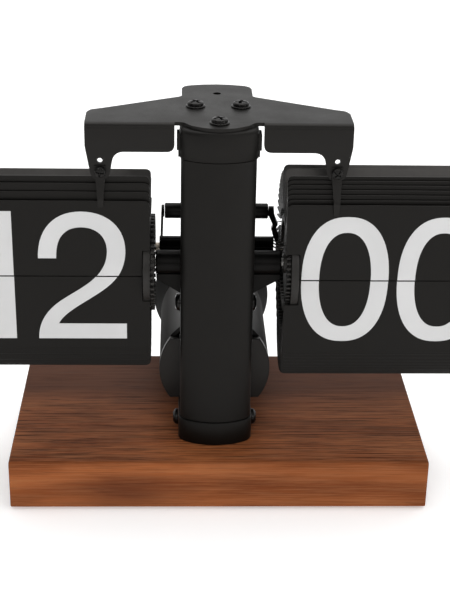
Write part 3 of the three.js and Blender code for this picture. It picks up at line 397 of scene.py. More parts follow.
def lathe(bm, profile, axis, centre, segments=96, loop=False):
    """Adds a body of revolution. profile is (along, radius) in mm; centre is the two other coordinates."""
    rings = []
    for along, radius in profile:
        if radius < 1e-6:
            rings.append([bm.verts.new(place(axis, along, *centre))])
            continue
        ring = []
        for i in range(segments):
            a = 2 * math.pi * i / segments
            ring.append(bm.verts.new(place(axis, along, centre[0] + radius * math.cos(a),
                                           centre[1] + radius * math.sin(a))))
        rings.append(ring)
    pairs = list(zip(rings, rings[1:]))
    if loop:
        pairs.append((rings[-1], rings[0]))
    for a, b in pairs:
        for i in range(segments):
            j = (i + 1) % segments
            if len(a) == 1:
                bm.faces.new((a[0], b[i], b[j]))
            elif len(b) == 1:
                bm.faces.new((a[i], b[0], a[j]))
            else:
                bm.faces.new((a[i], b[i], b[j], a[j]))


def rounded(points, radius, closed=False, steps=4):
    """A polyline with its corners rounded off by curves. radius is one number, or one per point."""
    count = len(points)
    radii = radius if isinstance(radius, (list, tuple)) else [radius] * count
    made = []
    for i, point in enumerate(points):
        if not closed and i in (0, count - 1) or radii[i] <= 0:
            made.append(tuple(point))
            continue
        p = Vector(point)
        before = Vector(points[i - 1]) - p
        after = Vector(points[(i + 1) % count]) - p
        turn = before.angle(after)
        if turn > math.pi - 0.02:
            made.append(tuple(point))
            continue
        reach = radii[i] / math.tan(turn / 2)
        reach = min(reach, 0.49 * before.length, 0.49 * after.length)
        start = p + before.normalized() * reach
        end = p + after.normalized() * reach
        for k in range(steps + 1):
            t = k / steps
            q = start * (1 - t) ** 2 + p * 2 * t * (1 - t) + end * t ** 2
            made.append(tuple(q))
    return made


def rectangle(x0, y0, x1, y1):
    return [(x0, y0), (x1, y0), (x1, y1), (x0, y1)]


def prism(bm, outline, axis, low, high):
    """Adds an extruded outline, given in the two coordinates other than axis, between low and high."""
    ends = []
    for along in (low, high):
        ends.append([bm.verts.new(place(axis, along, u, v)) for u, v in outline])
    bm.faces.new(ends[0])
    bm.faces.new(ends[1][::-1])
    count = len(outline)
    for i in range(count):
        j = (i + 1) % count
        bm.faces.new((ends[0][i], ends[0][j], ends[1][j], ends[1][i]))


def bezier(start, curves, steps=14):
    """Follows (control, control, end) triples, or single corner points, from the start."""
    made = [Vector(start)]
    for item in curves:
        if len(item) == 2:
            made.append(Vector(item))
            continue
        p0 = made[-1]
        p1, p2, p3 = (Vector(p) for p in item)
        for k in range(1, steps + 1):
            t = k / steps
            made.append(p0 * (1 - t) ** 3 + p1 * 3 * t * (1 - t) ** 2 + p2 * 3 * t * t * (1 - t) + p3 * t ** 3)
    return [tuple(p) for p in made]


def fill_into(bm, outlines, half_thick=0.0):
    """Adds the area that closed outlines enclose in the XY plane, with holes left open, flat or as a slab."""
    curve = bpy.data.curves.new("fill", "CURVE")
    curve.dimensions = "2D"
    curve.fill_mode = "BOTH"
    curve.extrude = half_thick
    for outline in outlines:
        spline = curve.splines.new("POLY")
        spline.points.add(len(outline) - 1)
        for point, (x, y) in zip(spline.points, outline):
            point.co = (x, y, 0, 1)
        spline.use_cyclic_u = True
    holder = bpy.data.objects.new("fill", curve)
    bpy.context.scene.collection.objects.link(holder)
    graph = bpy.context.evaluated_depsgraph_get()
    flat = bpy.data.meshes.new_from_object(holder.evaluated_get(graph))
    bm.from_mesh(flat)
    bpy.data.objects.remove(holder)
    bpy.data.curves.remove(curve)
    bpy.data.meshes.remove(flat)


def slice_at(bm, place, normal, **options):
    """Cuts every face that crosses a plane."""
    return bmesh.ops.bisect_plane(bm, geom=bm.verts[:] + bm.edges[:] + bm.faces[:], plane_co=place,
                                  plane_no=normal, dist=1e-5, **options)


# ---------------- digits

DIGIT_H = 57.8
DIGIT_SPLIT = 0.42


def oval(cx, cy, rx, ry, power, steps=72):
    made = []
    for i in range(steps):
        a = 2 * math.pi * i / steps
        c, s = math.cos(a), math.sin(a)
        made.append((cx + rx * math.copysign(abs(c) ** (2 / power), c),
                     cy + ry * math.copysign(abs(s) ** (2 / power), s)))
    return made


def digit_outlines(digit):
    """Outlines of a grotesque digit. x runs right from the cell's left edge, y runs down from the top."""
    h = DIGIT_H
    if digit == 0:
        return [oval(18.2, 28.7, 18.2, 28.3, 2.35), oval(18.2, 28.7, 10.8, 21.4, 2.3)]
    if digit == 1:
        return [bezier((22.9, h), [(22.9, 17.2), (10.6, 17.2), (10.6, 11.4),
                                   ((18.0, 11.2), (23.0, 8.4), (24.2, 0.0)), (30.6, 0.0), (30.6, h)])]
    if digit == 2:
        return [bezier((0.9, 20.7), [
            ((0.9, 7.8), (8.0, 0.0), (19.0, 0.0)), ((30.0, 0.0), (37.0, 7.0), (37.0, 17.2)),
            ((37.0, 22.4), (35.4, 26.8), (32.8, 30.2)), ((29.4, 34.6), (24.0, 37.8), (18.4, 41.6)),
            ((13.6, 44.8), (9.9, 47.8), (8.6, 50.8)), (37.2, 50.8), (37.2, h), (0.0, h),
            ((0.0, 50.2), (3.8, 44.4), (10.0, 40.0)), ((14.8, 36.6), (20.6, 33.4), (23.8, 30.0)),
            ((27.4, 26.2), (29.4, 22.2), (29.4, 17.4)), ((29.4, 11.0), (25.4, 6.9), (19.0, 6.9)),
            ((12.2, 6.9), (8.4, 11.4), (8.4, 20.7))])]
    if digit == 3:
        return [bezier((0.9, 18.4), [
            ((0.9, 7.0), (8.0, 0.0), (18.6, 0.0)), ((29.4, 0.0), (35.8, 6.0), (35.8, 15.0)),
            ((35.8, 21.0), (33.0, 25.2), (28.0, 27.2)), ((34.0, 29.2), (37.4, 34.0), (37.4, 40.4)),
            ((37.4, 51.0), (29.8, h), (18.4, h)), ((7.4, h), (0.2, 51.4), (0.0, 39.6)),
            (7.8, 39.6), ((8.0, 46.6), (12.0, 50.8), (18.4, 50.8)), ((25.0, 50.8), (29.4, 46.8), (29.4, 40.4)),
            ((29.4, 34.0), (25.2, 30.6), (18.4, 30.6)), (14.6, 30.6), (14.6, 24.4), (18.0, 24.4),
            ((24.4, 24.4), (28.0, 21.4), (28.0, 15.6)), ((28.0, 10.2), (24.4, 7.0), (18.4, 7.0)),
            ((12.2, 7.0), (8.8, 11.0), (8.6, 18.4))])]
    raise ValueError(digit)


def digit_half(name, digits, lefts, half, plane, body, matrix=None):
    """The print on one card: the upper or lower half of two digits, a thin raised layer on the card's face.
    plane is the Y of the card's front face; the print stands in front of it."""
    joined = bmesh.new()
    for digit, left in zip(digits, lefts):
        placed = [[(left + x, DIGIT_H / 2 - y) for x, y in outline] for outline in digit_outlines(digit)]
        fill_into(joined, placed, DIGIT_PRINT / 2)
    bmesh.ops.remove_doubles(joined, verts=joined.verts, dist=1e-4)
    sign = 1 if half == "upper" else -1
    cut = slice_at(joined, (0, DIGIT_SPLIT * sign, 0), (0, -sign, 0), clear_outer=True)
    rim = [e for e in cut["geom_cut"] if isinstance(e, bmesh.types.BMEdge)]
    bmesh.ops.holes_fill(joined, edges=rim)
    # curve plane XY becomes the card's XZ plane, extrusion runs along Y
    for vert in joined.verts:
        x, y, z = vert.co
        vert.co = Vector((x, plane - DIGIT_PRINT / 2 + z, AXLE_Z + y))
    if matrix is not None:
        bmesh.ops.transform(joined, matrix=matrix, verts=joined.verts)
    finish_mesh(name, joined, ["white"], body)


# ---------------- cards

CARD_PAINTS = ("card_black", "card_edge_painted_highlight", "card_painted_highlight")
NOTCH_HEIGHT = 11.3
FACE, EDGE, PAINTED_HIGHLIGHT = range(3)
# cards leaning between these angles, in degrees, get the painted highlight colour
PAINTED_HIGHLIGHT_LEAN = (15, 65)


def card_outline(drum):
    """Outline of one card in (x, z), hinge edge at z = 0, with a notch beside the hinge at each end."""
    start = CARD_INNER if drum["side"] > 0 else -CARD_INNER - CARD_WIDTH
    end = start + CARD_WIDTH
    left = drum["notch"] if drum["side"] > 0 else DISC_WIDTH + GAP
    right = DISC_WIDTH + GAP if drum["side"] > 0 else drum["notch"]
    shape = [(start + left, 0), (end - right, 0), (end - right, NOTCH_HEIGHT), (end, NOTCH_HEIGHT),
             (end, CARD_HEIGHT), (start, CARD_HEIGHT), (start, NOTCH_HEIGHT), (start + left, NOTCH_HEIGHT)]
    radii = [0.15, 0.15, 0.3, 0.3, CARD_CORNER, CARD_CORNER, 0.3, 0.3]
    return rounded(shape, radii, closed=True, steps=7)


def card_into(bm, drum, matrix, face_paint=FACE):
    """Adds one card, centred on its own plane, moved by matrix (mm). face_paint is its place in CARD_PAINTS."""
    part = bmesh.new()
    prism(part, card_outline(drum), "Y", -CARD_THICK / 2 + 0.02, CARD_THICK / 2 - 0.02)
    for face in part.faces:
        # the side faces of each card take the lighter edge colour, a painted highlight
        face.material_index = EDGE if len(face.verts) == 4 else face_paint
    bmesh.ops.transform(part, matrix=matrix, verts=part.verts)
    scratch = bpy.data.meshes.new("scratch")
    part.to_mesh(scratch)
    part.free()
    bm.from_mesh(scratch)
    bpy.data.meshes.remove(scratch)


def card_pose(drum, number):
    """Hinge place and lean of card number n behind the front one."""
    step = 360 / drum["cards"]
    angle = math.radians(number * step)
    hinge = drum["pin"] - 0.6
    back = drum["pin"] - hinge * math.cos(angle)
    up = hinge * math.sin(angle)
    from_front = min(number, drum["cards"] - number)
    stacked = max(back, from_front * CARD_PITCH)
    if number * step <= drum["upright"]:
        lean = math.degrees(math.asin((from_front * drum["tip_pitch"] - stacked) / CARD_HEIGHT))
        return stacked, up, lean
    pitch = 2 * hinge * math.sin(math.radians(step / 2))
    fan = math.degrees(math.asin(CARD_PITCH / pitch))
    tilt = drum["fan_tilt"] * max(0, 1 - number * step / FAN_END)
    lean = min(number * step + step / 2 - fan + tilt, 180)
    lean = drum["leaning"].get(number, lean)
    return (stacked if number * step > 270 else back), up, lean


def card_matrix(drum, number):
    back, up, lean = card_pose(drum, number)
    shift = Matrix.Translation((0, AXLE_Y - drum["pin"] + back, AXLE_Z + up))
    return shift @ Matrix.Rotation(-math.radians(lean), 4, "X")


def build_stack(name, drum, first, last, node):
    bm = bmesh.new()
    for number in range(first, last + 1):
        lean = card_pose(drum, number)[2]
        # leaning cards take the painted highlight colour in place of the plain card face
        shown = PAINTED_HIGHLIGHT if PAINTED_HIGHLIGHT_LEAN[0] < lean < PAINTED_HIGHLIGHT_LEAN[1] else FACE
        card_into(bm, drum, card_matrix(drum, number), shown)
    finish_mesh(name, bm, CARD_PAINTS, "root", bevel=0.08, segments=1, replaces=(node,))


def build_cards():
    for name, drum in DRUMS.items():
        half = drum["cards"] // 2
        build_stack(f"{name}_leaves_waiting", drum, 1, half - 1, f"{name}_cards_waiting")
        build_stack(f"{name}_leaves_fallen", drum, half, drum["cards"] - 1, f"{name}_cards_fallen")
        plane = AXLE_Y - drum["pin"] - 0.5
        upper = bmesh.new()
        card_into(upper, drum, Matrix.Translation((0, plane - CARD_THICK / 2, AXLE_Z + GAP)))
        finish_mesh(f"{name}_leaf_upper", upper, CARD_PAINTS, f"{name}_flap", bevel=0.1,
                    replaces=(f"{name}_card_upper",))
        lower = bmesh.new()
        hang = Matrix.Translation((0, plane + CARD_THICK / 2 + 0.1, AXLE_Z - GAP))
        card_into(lower, drum, hang @ Matrix.Rotation(math.pi, 4, "X"))
        finish_mesh(f"{name}_leaf_lower", lower, CARD_PAINTS, "root", bevel=0.1,
                    replaces=(f"{name}_card_lower",))


HOUR_LEFTS = (-115.2, -75.2)
MINUTE_LEFTS = (34.9, 75.05)


def build_digits():
    for name, drum, lefts, now, after in (("hour", DRUMS["hour"], HOUR_LEFTS, (1, 2), (1, 3)),
                                          ("minute", DRUMS["minute"], MINUTE_LEFTS, (0, 0), (0, 1))):
        plane = AXLE_Y - drum["pin"] - 0.5
        digit_half(f"{name}_print_upper", now, lefts, "upper", plane - CARD_THICK + 0.02, f"{name}_flap")
        digit_half(f"{name}_print_lower", now, lefts, "lower", plane + 0.12, "root")
        # the back of the front flap carries the next lower half, upside down while it stands
        axis_y = plane - 0.5
        turn = (Matrix.Translation((0, axis_y, AXLE_Z)) @ Matrix.Rotation(-math.pi, 4, "X")
                @ Matrix.Translation((0, -axis_y, -AXLE_Z)))
        digit_half(f"{name}_print_back", after, lefts, "lower", 2 * axis_y - (plane - 0.02), f"{name}_flap",
                   matrix=turn)
        # the next card's upper half, hidden until the flap falls
        lift = card_matrix(drum, 1) @ Matrix.Translation((0, 0, -AXLE_Z - GAP))
        digit_half(f"{name}_print_next", after, lefts, "upper", -CARD_THICK / 2 + 0.02, "root", matrix=lift)


# ---------------- base board


def build_base():
    low, high = box_mm("base_board")
    bm = bmesh.new()
    outline = rectangle(low.y, low.z, high.y, high.z)
    prism(bm, rounded(outline, [0.8, 0.8, 2.0, 2.0], closed=True, steps=6), "X", low.x, high.x)
    for face in bm.faces:
        x = face.calc_center_median().x
        face.material_index = int(min(x - low.x, high.x - x) < 0.01)
    finish_mesh("walnut_board", bm, ["walnut", "end"], "root", bevel=0.9, segments=4,
                replaces=("base_board",))


# ---------------- column

COLUMN_HALF = 15.4
COLUMN_FRONT = -36.0
COLUMN_REAR = 6.0
SEAM_Y = -15.0
FRONT_ARC = 25.0
REAR_ARC = 40.0
BASE_TOP = 23.2
FOOT_TOP = 34.0
CAP_BOTTOM = 152.5
CAP_TOP = 165.0
COVER_WALL = 1.5
PROUD = -0.6
CAP_FILLET = 1.9


def arc(cx, cy, radius, a0, a1, steps):
    return [(cx + radius * math.cos(math.radians(a0 + (a1 - a0) * k / steps)),
             cy + radius * math.sin(math.radians(a0 + (a1 - a0) * k / steps))) for k in range(steps + 1)]


def column_outline(inset):
    """Plan outline of the column moved inwards: curved front and rear, flat sides, soft corners.
    It starts at the right-hand seam and runs forwards, round to the left seam, and back along the rear."""
    half = COLUMN_HALF - inset
    corner = max(3.2 - inset, 0.8)
    reach = half - corner
    front_r, rear_r = FRONT_ARC - inset, REAR_ARC - inset
    front, rear = COLUMN_FRONT + inset, COLUMN_REAR - inset
    fa = math.degrees(math.asin(reach / front_r))
    ra = math.degrees(math.asin(reach / rear_r))
    front_end = front + front_r * (1 - math.cos(math.radians(fa)))
    rear_end = rear - rear_r * (1 - math.cos(math.radians(ra)))
    front_bend = front_end + corner * math.tan(math.radians(fa))
    rear_bend = rear_end - corner * math.tan(math.radians(ra))

    def curve(p0, p1, p2):
        p0, p1, p2 = Vector(p0), Vector(p1), Vector(p2)
        return [tuple(p0 * (1 - t) ** 2 + p1 * 2 * t * (1 - t) + p2 * t * t) for t in (k / 8 for k in range(9))]

    fore = [(half, SEAM_Y)] + curve((half, front_bend + corner), (half, front_bend), (reach, front_end))
    fore += arc(0, front + front_r, front_r, 270 + fa, 270 - fa, 36)[1:-1]
    fore += curve((-reach, front_end), (-half, front_bend), (-half, front_bend + corner)) + [(-half, SEAM_Y)]
    aft = [(-half, SEAM_Y)] + curve((-half, rear_bend - corner), (-half, rear_bend), (-reach, rear_end))
    aft += arc(0, rear - rear_r, rear_r, 90 + ra, 90 - ra, 36)[1:-1]
    aft += curve((reach, rear_end), (half, rear_bend), (half, rear_bend - corner)) + [(half, SEAM_Y)]
    return fore, aft


def skin(bm, loops):
    """Joins equally long closed loops of 3-D points into a closed surface with flat ends."""
    rings = [[bm.verts.new(p) for p in loop] for loop in loops]
    count = len(rings[0])
    for a, b in zip(rings, rings[1:]):
        for i in range(count):
            j = (i + 1) % count
            bm.faces.new((a[i], a[j], b[j], b[i]))
    bm.faces.new(rings[0])
    bm.faces.new(rings[-1][::-1])


def level(inset, z):
    """The column's whole outline, moved inwards, at one height."""
    fore, aft = column_outline(inset)
    return [(x, y, z) for x, y in fore + aft[1:-1]]


def build_column():
    low, high = FOOT_TOP + 0.2, CAP_BOTTOM - 0.2
    for index, name, shift in ((0, "front", 0.1), (1, "rear", -0.1)):
        outer = column_outline(0)[index]
        inner = column_outline(COVER_WALL)[index][::-1]
        shape = [(x, y - shift if abs(y - SEAM_Y) < 1e-6 else y) for x, y in outer + inner]
        bm = bmesh.new()
        prism(bm, shape, "Z", low, high)
        finish_mesh(f"cover_{name}", bm, ["matt_black"], "root", bevel=0.25,
                    replaces=(f"column_{name}_cover",))

    foot = bmesh.new()
    skin(foot, [level(PROUD + 0.3, BASE_TOP), level(PROUD, BASE_TOP + 0.3), level(PROUD, FOOT_TOP - 0.5),
                level(PROUD + 0.15, FOOT_TOP - 0.15), level(PROUD + 0.5, FOOT_TOP), level(2.0, FOOT_TOP),
                level(2.0, FOOT_TOP - 5.0)])
    finish_mesh("foot_moulding", foot, ["matt_black"], "root", angle=50,
                replaces=("column_foot",))

    cap = bmesh.new()
    loops = [level(2.0, CAP_BOTTOM + 4.0), level(2.0, CAP_BOTTOM), level(PROUD + 0.3, CAP_BOTTOM),
             level(PROUD, CAP_BOTTOM + 0.3)]
    for k in range(7):
        a = math.radians(90 * k / 6)
        drop = CAP_FILLET * (1 - math.sin(a))
        loops.append(level(PROUD + CAP_FILLET * (1 - math.cos(a)), CAP_TOP - drop))
    skin(cap, loops)
    ears = ((17.1, -29.5, -22.5, 155.6, 162.4), (16.5, -28.5, -23.5, CAP_BOTTOM, 156.2))
    for side in (-1, 1):
        for reach, y0, y1, z0, z1 in ears:
            inner, outer = sorted((side * 14.5, side * reach))
            prism(cap, rounded(rectangle(y0, z0, y1, z1), 0.6, closed=True), "X", inner, outer)
    finish_mesh("cap_moulding", cap, ["matt_black"], "root", angle=50, bevel=0.15, segments=1,
                replaces=("column_top_cap",))


# ---------------- folded sheet bracket

SHEET = 1.5
SHEET_TOP = 166.5
FOLD_R = 2.4
FLANGE_FRONT = -28.8
FLANGE_BOTTOM = 154.6
FLANGE_INNER = 18.0
SHEET_HALF = 54.0
LEG_X = 48.0
LEG_BOTTOM = 142.9
FINGER_SCREW_Z = LEG_BOTTOM + 3.5
FOLD_Y = FLANGE_FRONT + FOLD_R
FOLD_LENGTH = math.pi / 2 * FOLD_R
SHEET_SCREWS = ((-9.4, -4.4), (9.4, -4.4), (0.0, -27.6))


def unfolded(z):
    """Distance coordinate on the flat sheet of a point on a flange at height z."""
    return FOLD_Y - FOLD_LENGTH - (SHEET_TOP - FOLD_R - z)


def sheet_outline():
    """The flat blank of the bracket as (x, distance), right half first, then mirrored."""
    tab = 15.1
    leg, tip, edge = unfolded(LEG_BOTTOM + 2.2), unfolded(LEG_BOTTOM), unfolded(FLANGE_BOTTOM)
    rear = [(0, 29.4), (6, 28.9), (tab - 3.2, 27.4), (tab - 0.9, 25.7), (tab, 22.5), (tab, 11.2),
            (tab + 1.2, 9.9), (SHEET_HALF - 5.5, -7.9), (SHEET_HALF - 1.6, -9.6), (SHEET_HALF, -13.2)]
    flange = [(SHEET_HALF, unfolded(157)), (LEG_X + 3.9, leg), (LEG_X + 2.4, tip), (LEG_X - 2.4, tip),
              (LEG_X - 3.9, leg), (LEG_X - 5.6, edge), (FLANGE_INNER, edge), (FLANGE_INNER, FOLD_Y)]
    front = [(14.6, FOLD_Y), (11.4, -31.0), (6.0, -34.4), (0, -35.4)]
    radii = [0, 6, 5, 3, 3, 1, 2, 6, 3, 6] + [9, 4, 2, 2, 4, 5, 3.4, 0] + [3.2, 4, 14, 0]
    half = rounded(rear + flange + front, radii, steps=10)
    return half + [(-x, s) for x, s in half[-2:0:-1]]


def fold(x, s, depth=0.0):
    """Where a point of the flat blank ends up; depth is how far it lies under the outer face."""
    if s >= FOLD_Y or abs(x) < FLANGE_INNER - 0.01:
        return Vector((x, s, SHEET_TOP - depth))
    run = FOLD_Y - s
    turn = min(run / FOLD_R, math.pi / 2)
    radius = FOLD_R - depth
    y = FOLD_Y - radius * math.sin(turn)
    z = SHEET_TOP - FOLD_R + radius * math.cos(turn)
    return Vector((x, y, z - max(0.0, run - FOLD_LENGTH)))


def circle(cx, cy, radius, steps=20):
    return [(cx + radius * math.cos(2 * math.pi * k / steps), cy + radius * math.sin(2 * math.pi * k / steps))
            for k in range(steps)]


def thicken(bm, mapping, depth):
    """Turns a flat mesh into a closed sheet: mapping(x, y, depth) places the outer and the inner face."""
    flat = [(v.co.x, v.co.y) for v in bm.verts]
    bm.verts.index_update()
    faces = [[v.index for v in f.verts] for f in bm.faces]
    rim = [[v.index for v in e.verts] for e in bm.edges if len(e.link_faces) == 1]
    made = bmesh.new()
    outer = [made.verts.new(mapping(x, y, 0.0)) for x, y in flat]
    inner = [made.verts.new(mapping(x, y, depth)) for x, y in flat]
    for face in faces:
        made.faces.new([outer[i] for i in face])
        made.faces.new([inner[i] for i in reversed(face)])
    for a, b in rim:
        made.faces.new((outer[a], outer[b], inner[b], inner[a]))
    bm.free()
    return made


def build_bracket():
    holes = [circle(x, y, 2.1) for x, y in SHEET_SCREWS] + [circle(0, 15, 1.7, 28)]
    for side in (-1, 1):
        holes.append(circle(side * LEG_X, unfolded(FINGER_SCREW_Z + 4.5), 1.1))
        holes.append(circle(side * LEG_X, unfolded(FINGER_SCREW_Z), 1.3))
    bm = bmesh.new()
    fill_into(bm, [sheet_outline()] + holes)
    bmesh.ops.remove_doubles(bm, verts=bm.verts, dist=1e-4)
    for k in range(9):
        slice_at(bm, (0, FOLD_Y - FOLD_LENGTH * k / 8, 0), (0, 1, 0))
    sheet = thicken(bm, fold, SHEET)
    finish_mesh("folded_sheet", sheet, ["grey_sheet"], "root", angle=40, bevel=0.28, segments=3,
                replaces=("top_bracket",))


# ---------------- screws


def smooth_step(value):
    value = min(1.0, max(0.0, value))
    return value * value * (3 - 2 * value)


def screw_head(bm, radius, dome, rim, slot_width, slot_reach, slot_depth, spin, turn):
    """A pan head with a cross recess, made as a relief over a disc. turn places (x, y, height) in space."""
    rings, spokes = 30, 96

    def arm(across, lengthwise):
        inside = smooth_step((slot_width - abs(across)) / 0.16)
        return inside * smooth_step((slot_reach - abs(lengthwise)) / 0.3)

    grid = []
    for i in range(rings + 1):
        r = radius * i / rings
        row = []
        for k in range(spokes if i else 1):
            a = 2 * math.pi * k / spokes
            x, y = r * math.cos(a), r * math.sin(a)
            height = rim + (dome - rim) * math.sqrt(max(0.0, 1 - (r / radius) ** 2.6))
            u = x * math.cos(spin) + y * math.sin(spin)
            v = y * math.cos(spin) - x * math.sin(spin)
            depth = slot_depth * max(arm(v, u), arm(u, v)) * (1 - 0.35 * r / slot_reach)
            row.append(bm.verts.new(turn(x, y, height - max(0.0, depth))))
        grid.append(row)
    base = [bm.verts.new(turn(x, y, 0)) for x, y in circle(0, 0, radius, spokes)]
    for k in range(spokes):
        j = (k + 1) % spokes
        bm.faces.new((grid[0][0], grid[1][k], grid[1][j]))
        for inner, outer in zip(grid[1:], grid[2:]):
            bm.faces.new((inner[k], outer[k], outer[j], inner[j]))
        bm.faces.new((grid[rings][k], base[k], base[j], grid[rings][j]))
    bm.faces.new(base[::-1])


def build_screws():
    for number, (x, y) in enumerate(SHEET_SCREWS, 1):
        bm = bmesh.new()
        shank = [(-6.4, 0), (-6.4, 1.8), (0, 1.8)]
        washer = [(0, 4.0), (0.25, 4.1), (0.55, 4.05), (0.7, 3.8), (0.7, 0)]
        lathe(bm, [(SHEET_TOP + up, radius) for up, radius in shank + washer], "Z", (x, y), 48)
        screw_head(bm, 3.35, 1.75, 0.9, 0.62, 2.5, 1.5, math.radians(38 * number),
                   lambda a, b, c, x=x, y=y: (x + a, y + b, SHEET_TOP + 0.65 + c))
        finish_mesh(f"bracket_screw_head_{number}", bm, ["black_steel"], "root", angle=50,
                    replaces=(f"bracket_screw_{number}",))
    seat = FLANGE_FRONT - 0.9
    nose = FLANGE_FRONT + SHEET + 0.6
    for side, name in SIDES:
        bm = bmesh.new()
        x = side * LEG_X
        lathe(bm, [(seat - 0.2, 0), (seat - 0.2, 1.0), (nose, 1.0), (nose, 0)], "Y", (x, FINGER_SCREW_Z), 32)
        screw_head(bm, 2.3, 1.35, 0.6, 0.42, 1.7, 1.0, math.radians(20 + 30 * side),
                   lambda a, b, c, x=x: (x + a, seat - c, FINGER_SCREW_Z + b))
        finish_mesh(f"finger_screw_head_{name}", bm, ["black_steel"], "root", angle=50,
                    replaces=(f"finger_screw_{name}",))


def build_fingers():
    """Thin spring strips that taper from the screw to the tip, shaped like the CAD's fingers from the side."""
    bottom = FINGER_SCREW_Z - 2.6
    for _, name in SIDES:
        node = NODES[f"card_finger_{name}"]
        low, high = box_mm(f"card_finger_{name}")
        middle = (low.x + high.x) / 2
        bm = bmesh.new()
        bm.from_mesh(node.data)
        bmesh.ops.transform(bm, matrix=Matrix.Scale(1 / MM, 4) @ node.matrix_world, verts=bm.verts)
        bmesh.ops.triangulate(bm, faces=bm.faces)
        for k in range(6):
            slice_at(bm, (0, 0, low.z + (bottom - low.z) * k / 6), (0, 0, 1))
        for vert in bm.verts:
            t = min(1.0, max(0.0, (bottom - vert.co.z) / (bottom - low.z)))
            vert.co.x = middle + (vert.co.x - middle) * (1 - 0.32 * t)
        finish_mesh(f"spring_finger_{name}", bm, ["grey_sheet"], f"finger_{name}", angle=30,
                    bevel=0.08, segments=1, replaces=(f"card_finger_{name}",))


# ---------------- pivot bar, spring posts and axle arms

PIVOT_Y, PIVOT_Z, PIVOT_END = -2.0, 119.5, 22.2
POST_Y, POST_Z = -3.0, 104.5
POST_END = {"left": 24.5, "right": 24.9}
ARM_END = {"left": 25.9, "right": 27.6}
ARM_BORE = {"left": 3.8, "right": 2.3}


def build_beside_column():
    inside = COLUMN_HALF - 0.4
    bm = bmesh.new()
    end = [(inside, 3.1), (inside + 0.2, 3.3), (PIVOT_END - 0.5, 3.3), (PIVOT_END - 0.15, 3.15),
           (PIVOT_END, 2.8), (PIVOT_END, 0)]
    other_end = [(-x, radius) for x, radius in end[::-1]]
    lathe(bm, other_end + [(-inside, 2.35), (inside, 2.35)] + end, "X", (PIVOT_Y, PIVOT_Z), 64)
    finish_mesh("pivot_shaft", bm, ["cast_black"], "root", replaces=("pivot_bar",))

    for side, name in SIDES:
        near, far = sorted((side * inside, side * POST_END[name]))
        post = bmesh.new()
        y0 = POST_Y - 1.8
        block = rectangle(y0, POST_Z - 3.4, POST_Y + 1.8, POST_Z + 3.4)
        prism(post, rounded(block, 1.5, closed=True, steps=8), "X", near, far)
        rib = rectangle(y0 - 0.35, POST_Z - 2.2, y0 + 0.5, POST_Z - 0.6)
        prism(post, rounded(rib, 0.3, closed=True), "X", near, far)
        finish_mesh(f"post_{name}", post, ["cast_black"], "root", bevel=0.25, segments=3,
                    replaces=(f"spring_post_{name}",))

        arm = bmesh.new()
        far, bore = ARM_END[name], ARM_BORE[name]
        tube = [(inside, bore), (inside, 5.2), (far - 0.4, 5.2), (far, 4.8), (far, bore)]
        lathe(arm, [(side * x, radius) for x, radius in tube], "X", (AXLE_Y, AXLE_Z), 96, loop=True)
        web = [(side * inside, AXLE_Z - 4.2), (side * (far - 0.2), AXLE_Z - 4.2),
               (side * (far - 0.2), AXLE_Z - 6.4), (side * inside, AXLE_Z - 13.4)]
        prism(arm, rounded(web, [0, 0, 0.8, 0], closed=True), "Y", AXLE_Y - 3.6, AXLE_Y + 3.6)
        finish_mesh(f"arm_{name}", arm, ["cast_black"], "root", bevel=0.2, segments=3,
                    replaces=(f"axle_bracket_{name}",))


# ---------------- battery can

CAN_Z = 47.8
CAN_R = 24.5
CAN_FRONT = -11.0
CAN_REAR = 49.0
CAN_FLAT = 14.5
CAN_WALL = 2.0
CAN_MOUTH = 5.0
FLANGE_REAR = CAN_FRONT + 3
LID_FRONT = CAN_REAR + 0.3
LID_BORE = CAN_R - 4.4
LID_R = 28.2
LID_END = 71.2
LID_FILLET = 1.3


def build_can():
    """The shell is open below between flange and mouth, where the foot stands, and a whole ring behind it."""
    bm = bmesh.new()
    cut = math.asin(CAN_FLAT / CAN_R)
    bore = CAN_R - CAN_WALL
    rows = [(FLANGE_REAR, CAN_R), (CAN_MOUTH, CAN_R), (CAN_REAR - 0.5, CAN_R), (CAN_REAR, CAN_R - 0.5),
            (CAN_REAR, bore), (CAN_MOUTH, bore), (FLANGE_REAR, bore)]

    def row_points(row, angles):
        y, radius = row
        return [bm.verts.new((radius * math.cos(a), y, CAN_Z + radius * math.sin(a))) for a in angles]

    def join(loops):
        for p, q in zip(loops, loops[1:] + loops[:1]):
            for i in range(len(p) - 1):
                bm.faces.new((p[i], p[i + 1], q[i + 1], q[i]))

    over = [-cut + (math.pi + 2 * cut) * k / 160 for k in range(161)]
    under = [math.pi + cut + (math.pi - 2 * cut) * k / 48 for k in range(1, 48)]
    grid = [row_points(row, over) for row in rows]
    join(grid)
    join([[points[-1]] + row_points(row, under) + [points[0]] for points, row in zip(grid[1:6], rows[1:6])])
    for end in (0, -1):
        bm.faces.new([grid[k][end] for k in (0, 1, 5, 6)])
    # front flange: a disc with flat top and bottom
    right = [(CAN_R * 1.004 * math.cos(a), CAN_Z + CAN_R * 1.004 * math.sin(a))
             for a in (-cut + 2 * cut * k / 40 for k in range(41))]
    left = [(-x, 2 * CAN_Z - z) for x, z in right]
    shell_faces = len(bm.faces)
    prism(bm, right + left, "Y", CAN_FRONT, FLANGE_REAR)
    bm.faces.ensure_lookup_table()
    # the flange takes the lighter moulded black: painted light where the column shades it
    for face in bm.faces[shell_faces:]:
        face.material_index = 1
    finish_mesh("battery_can", bm, ["gloss_black", "moulded_black"], "root", bevel=0.35,
                replaces=("battery_housing",))


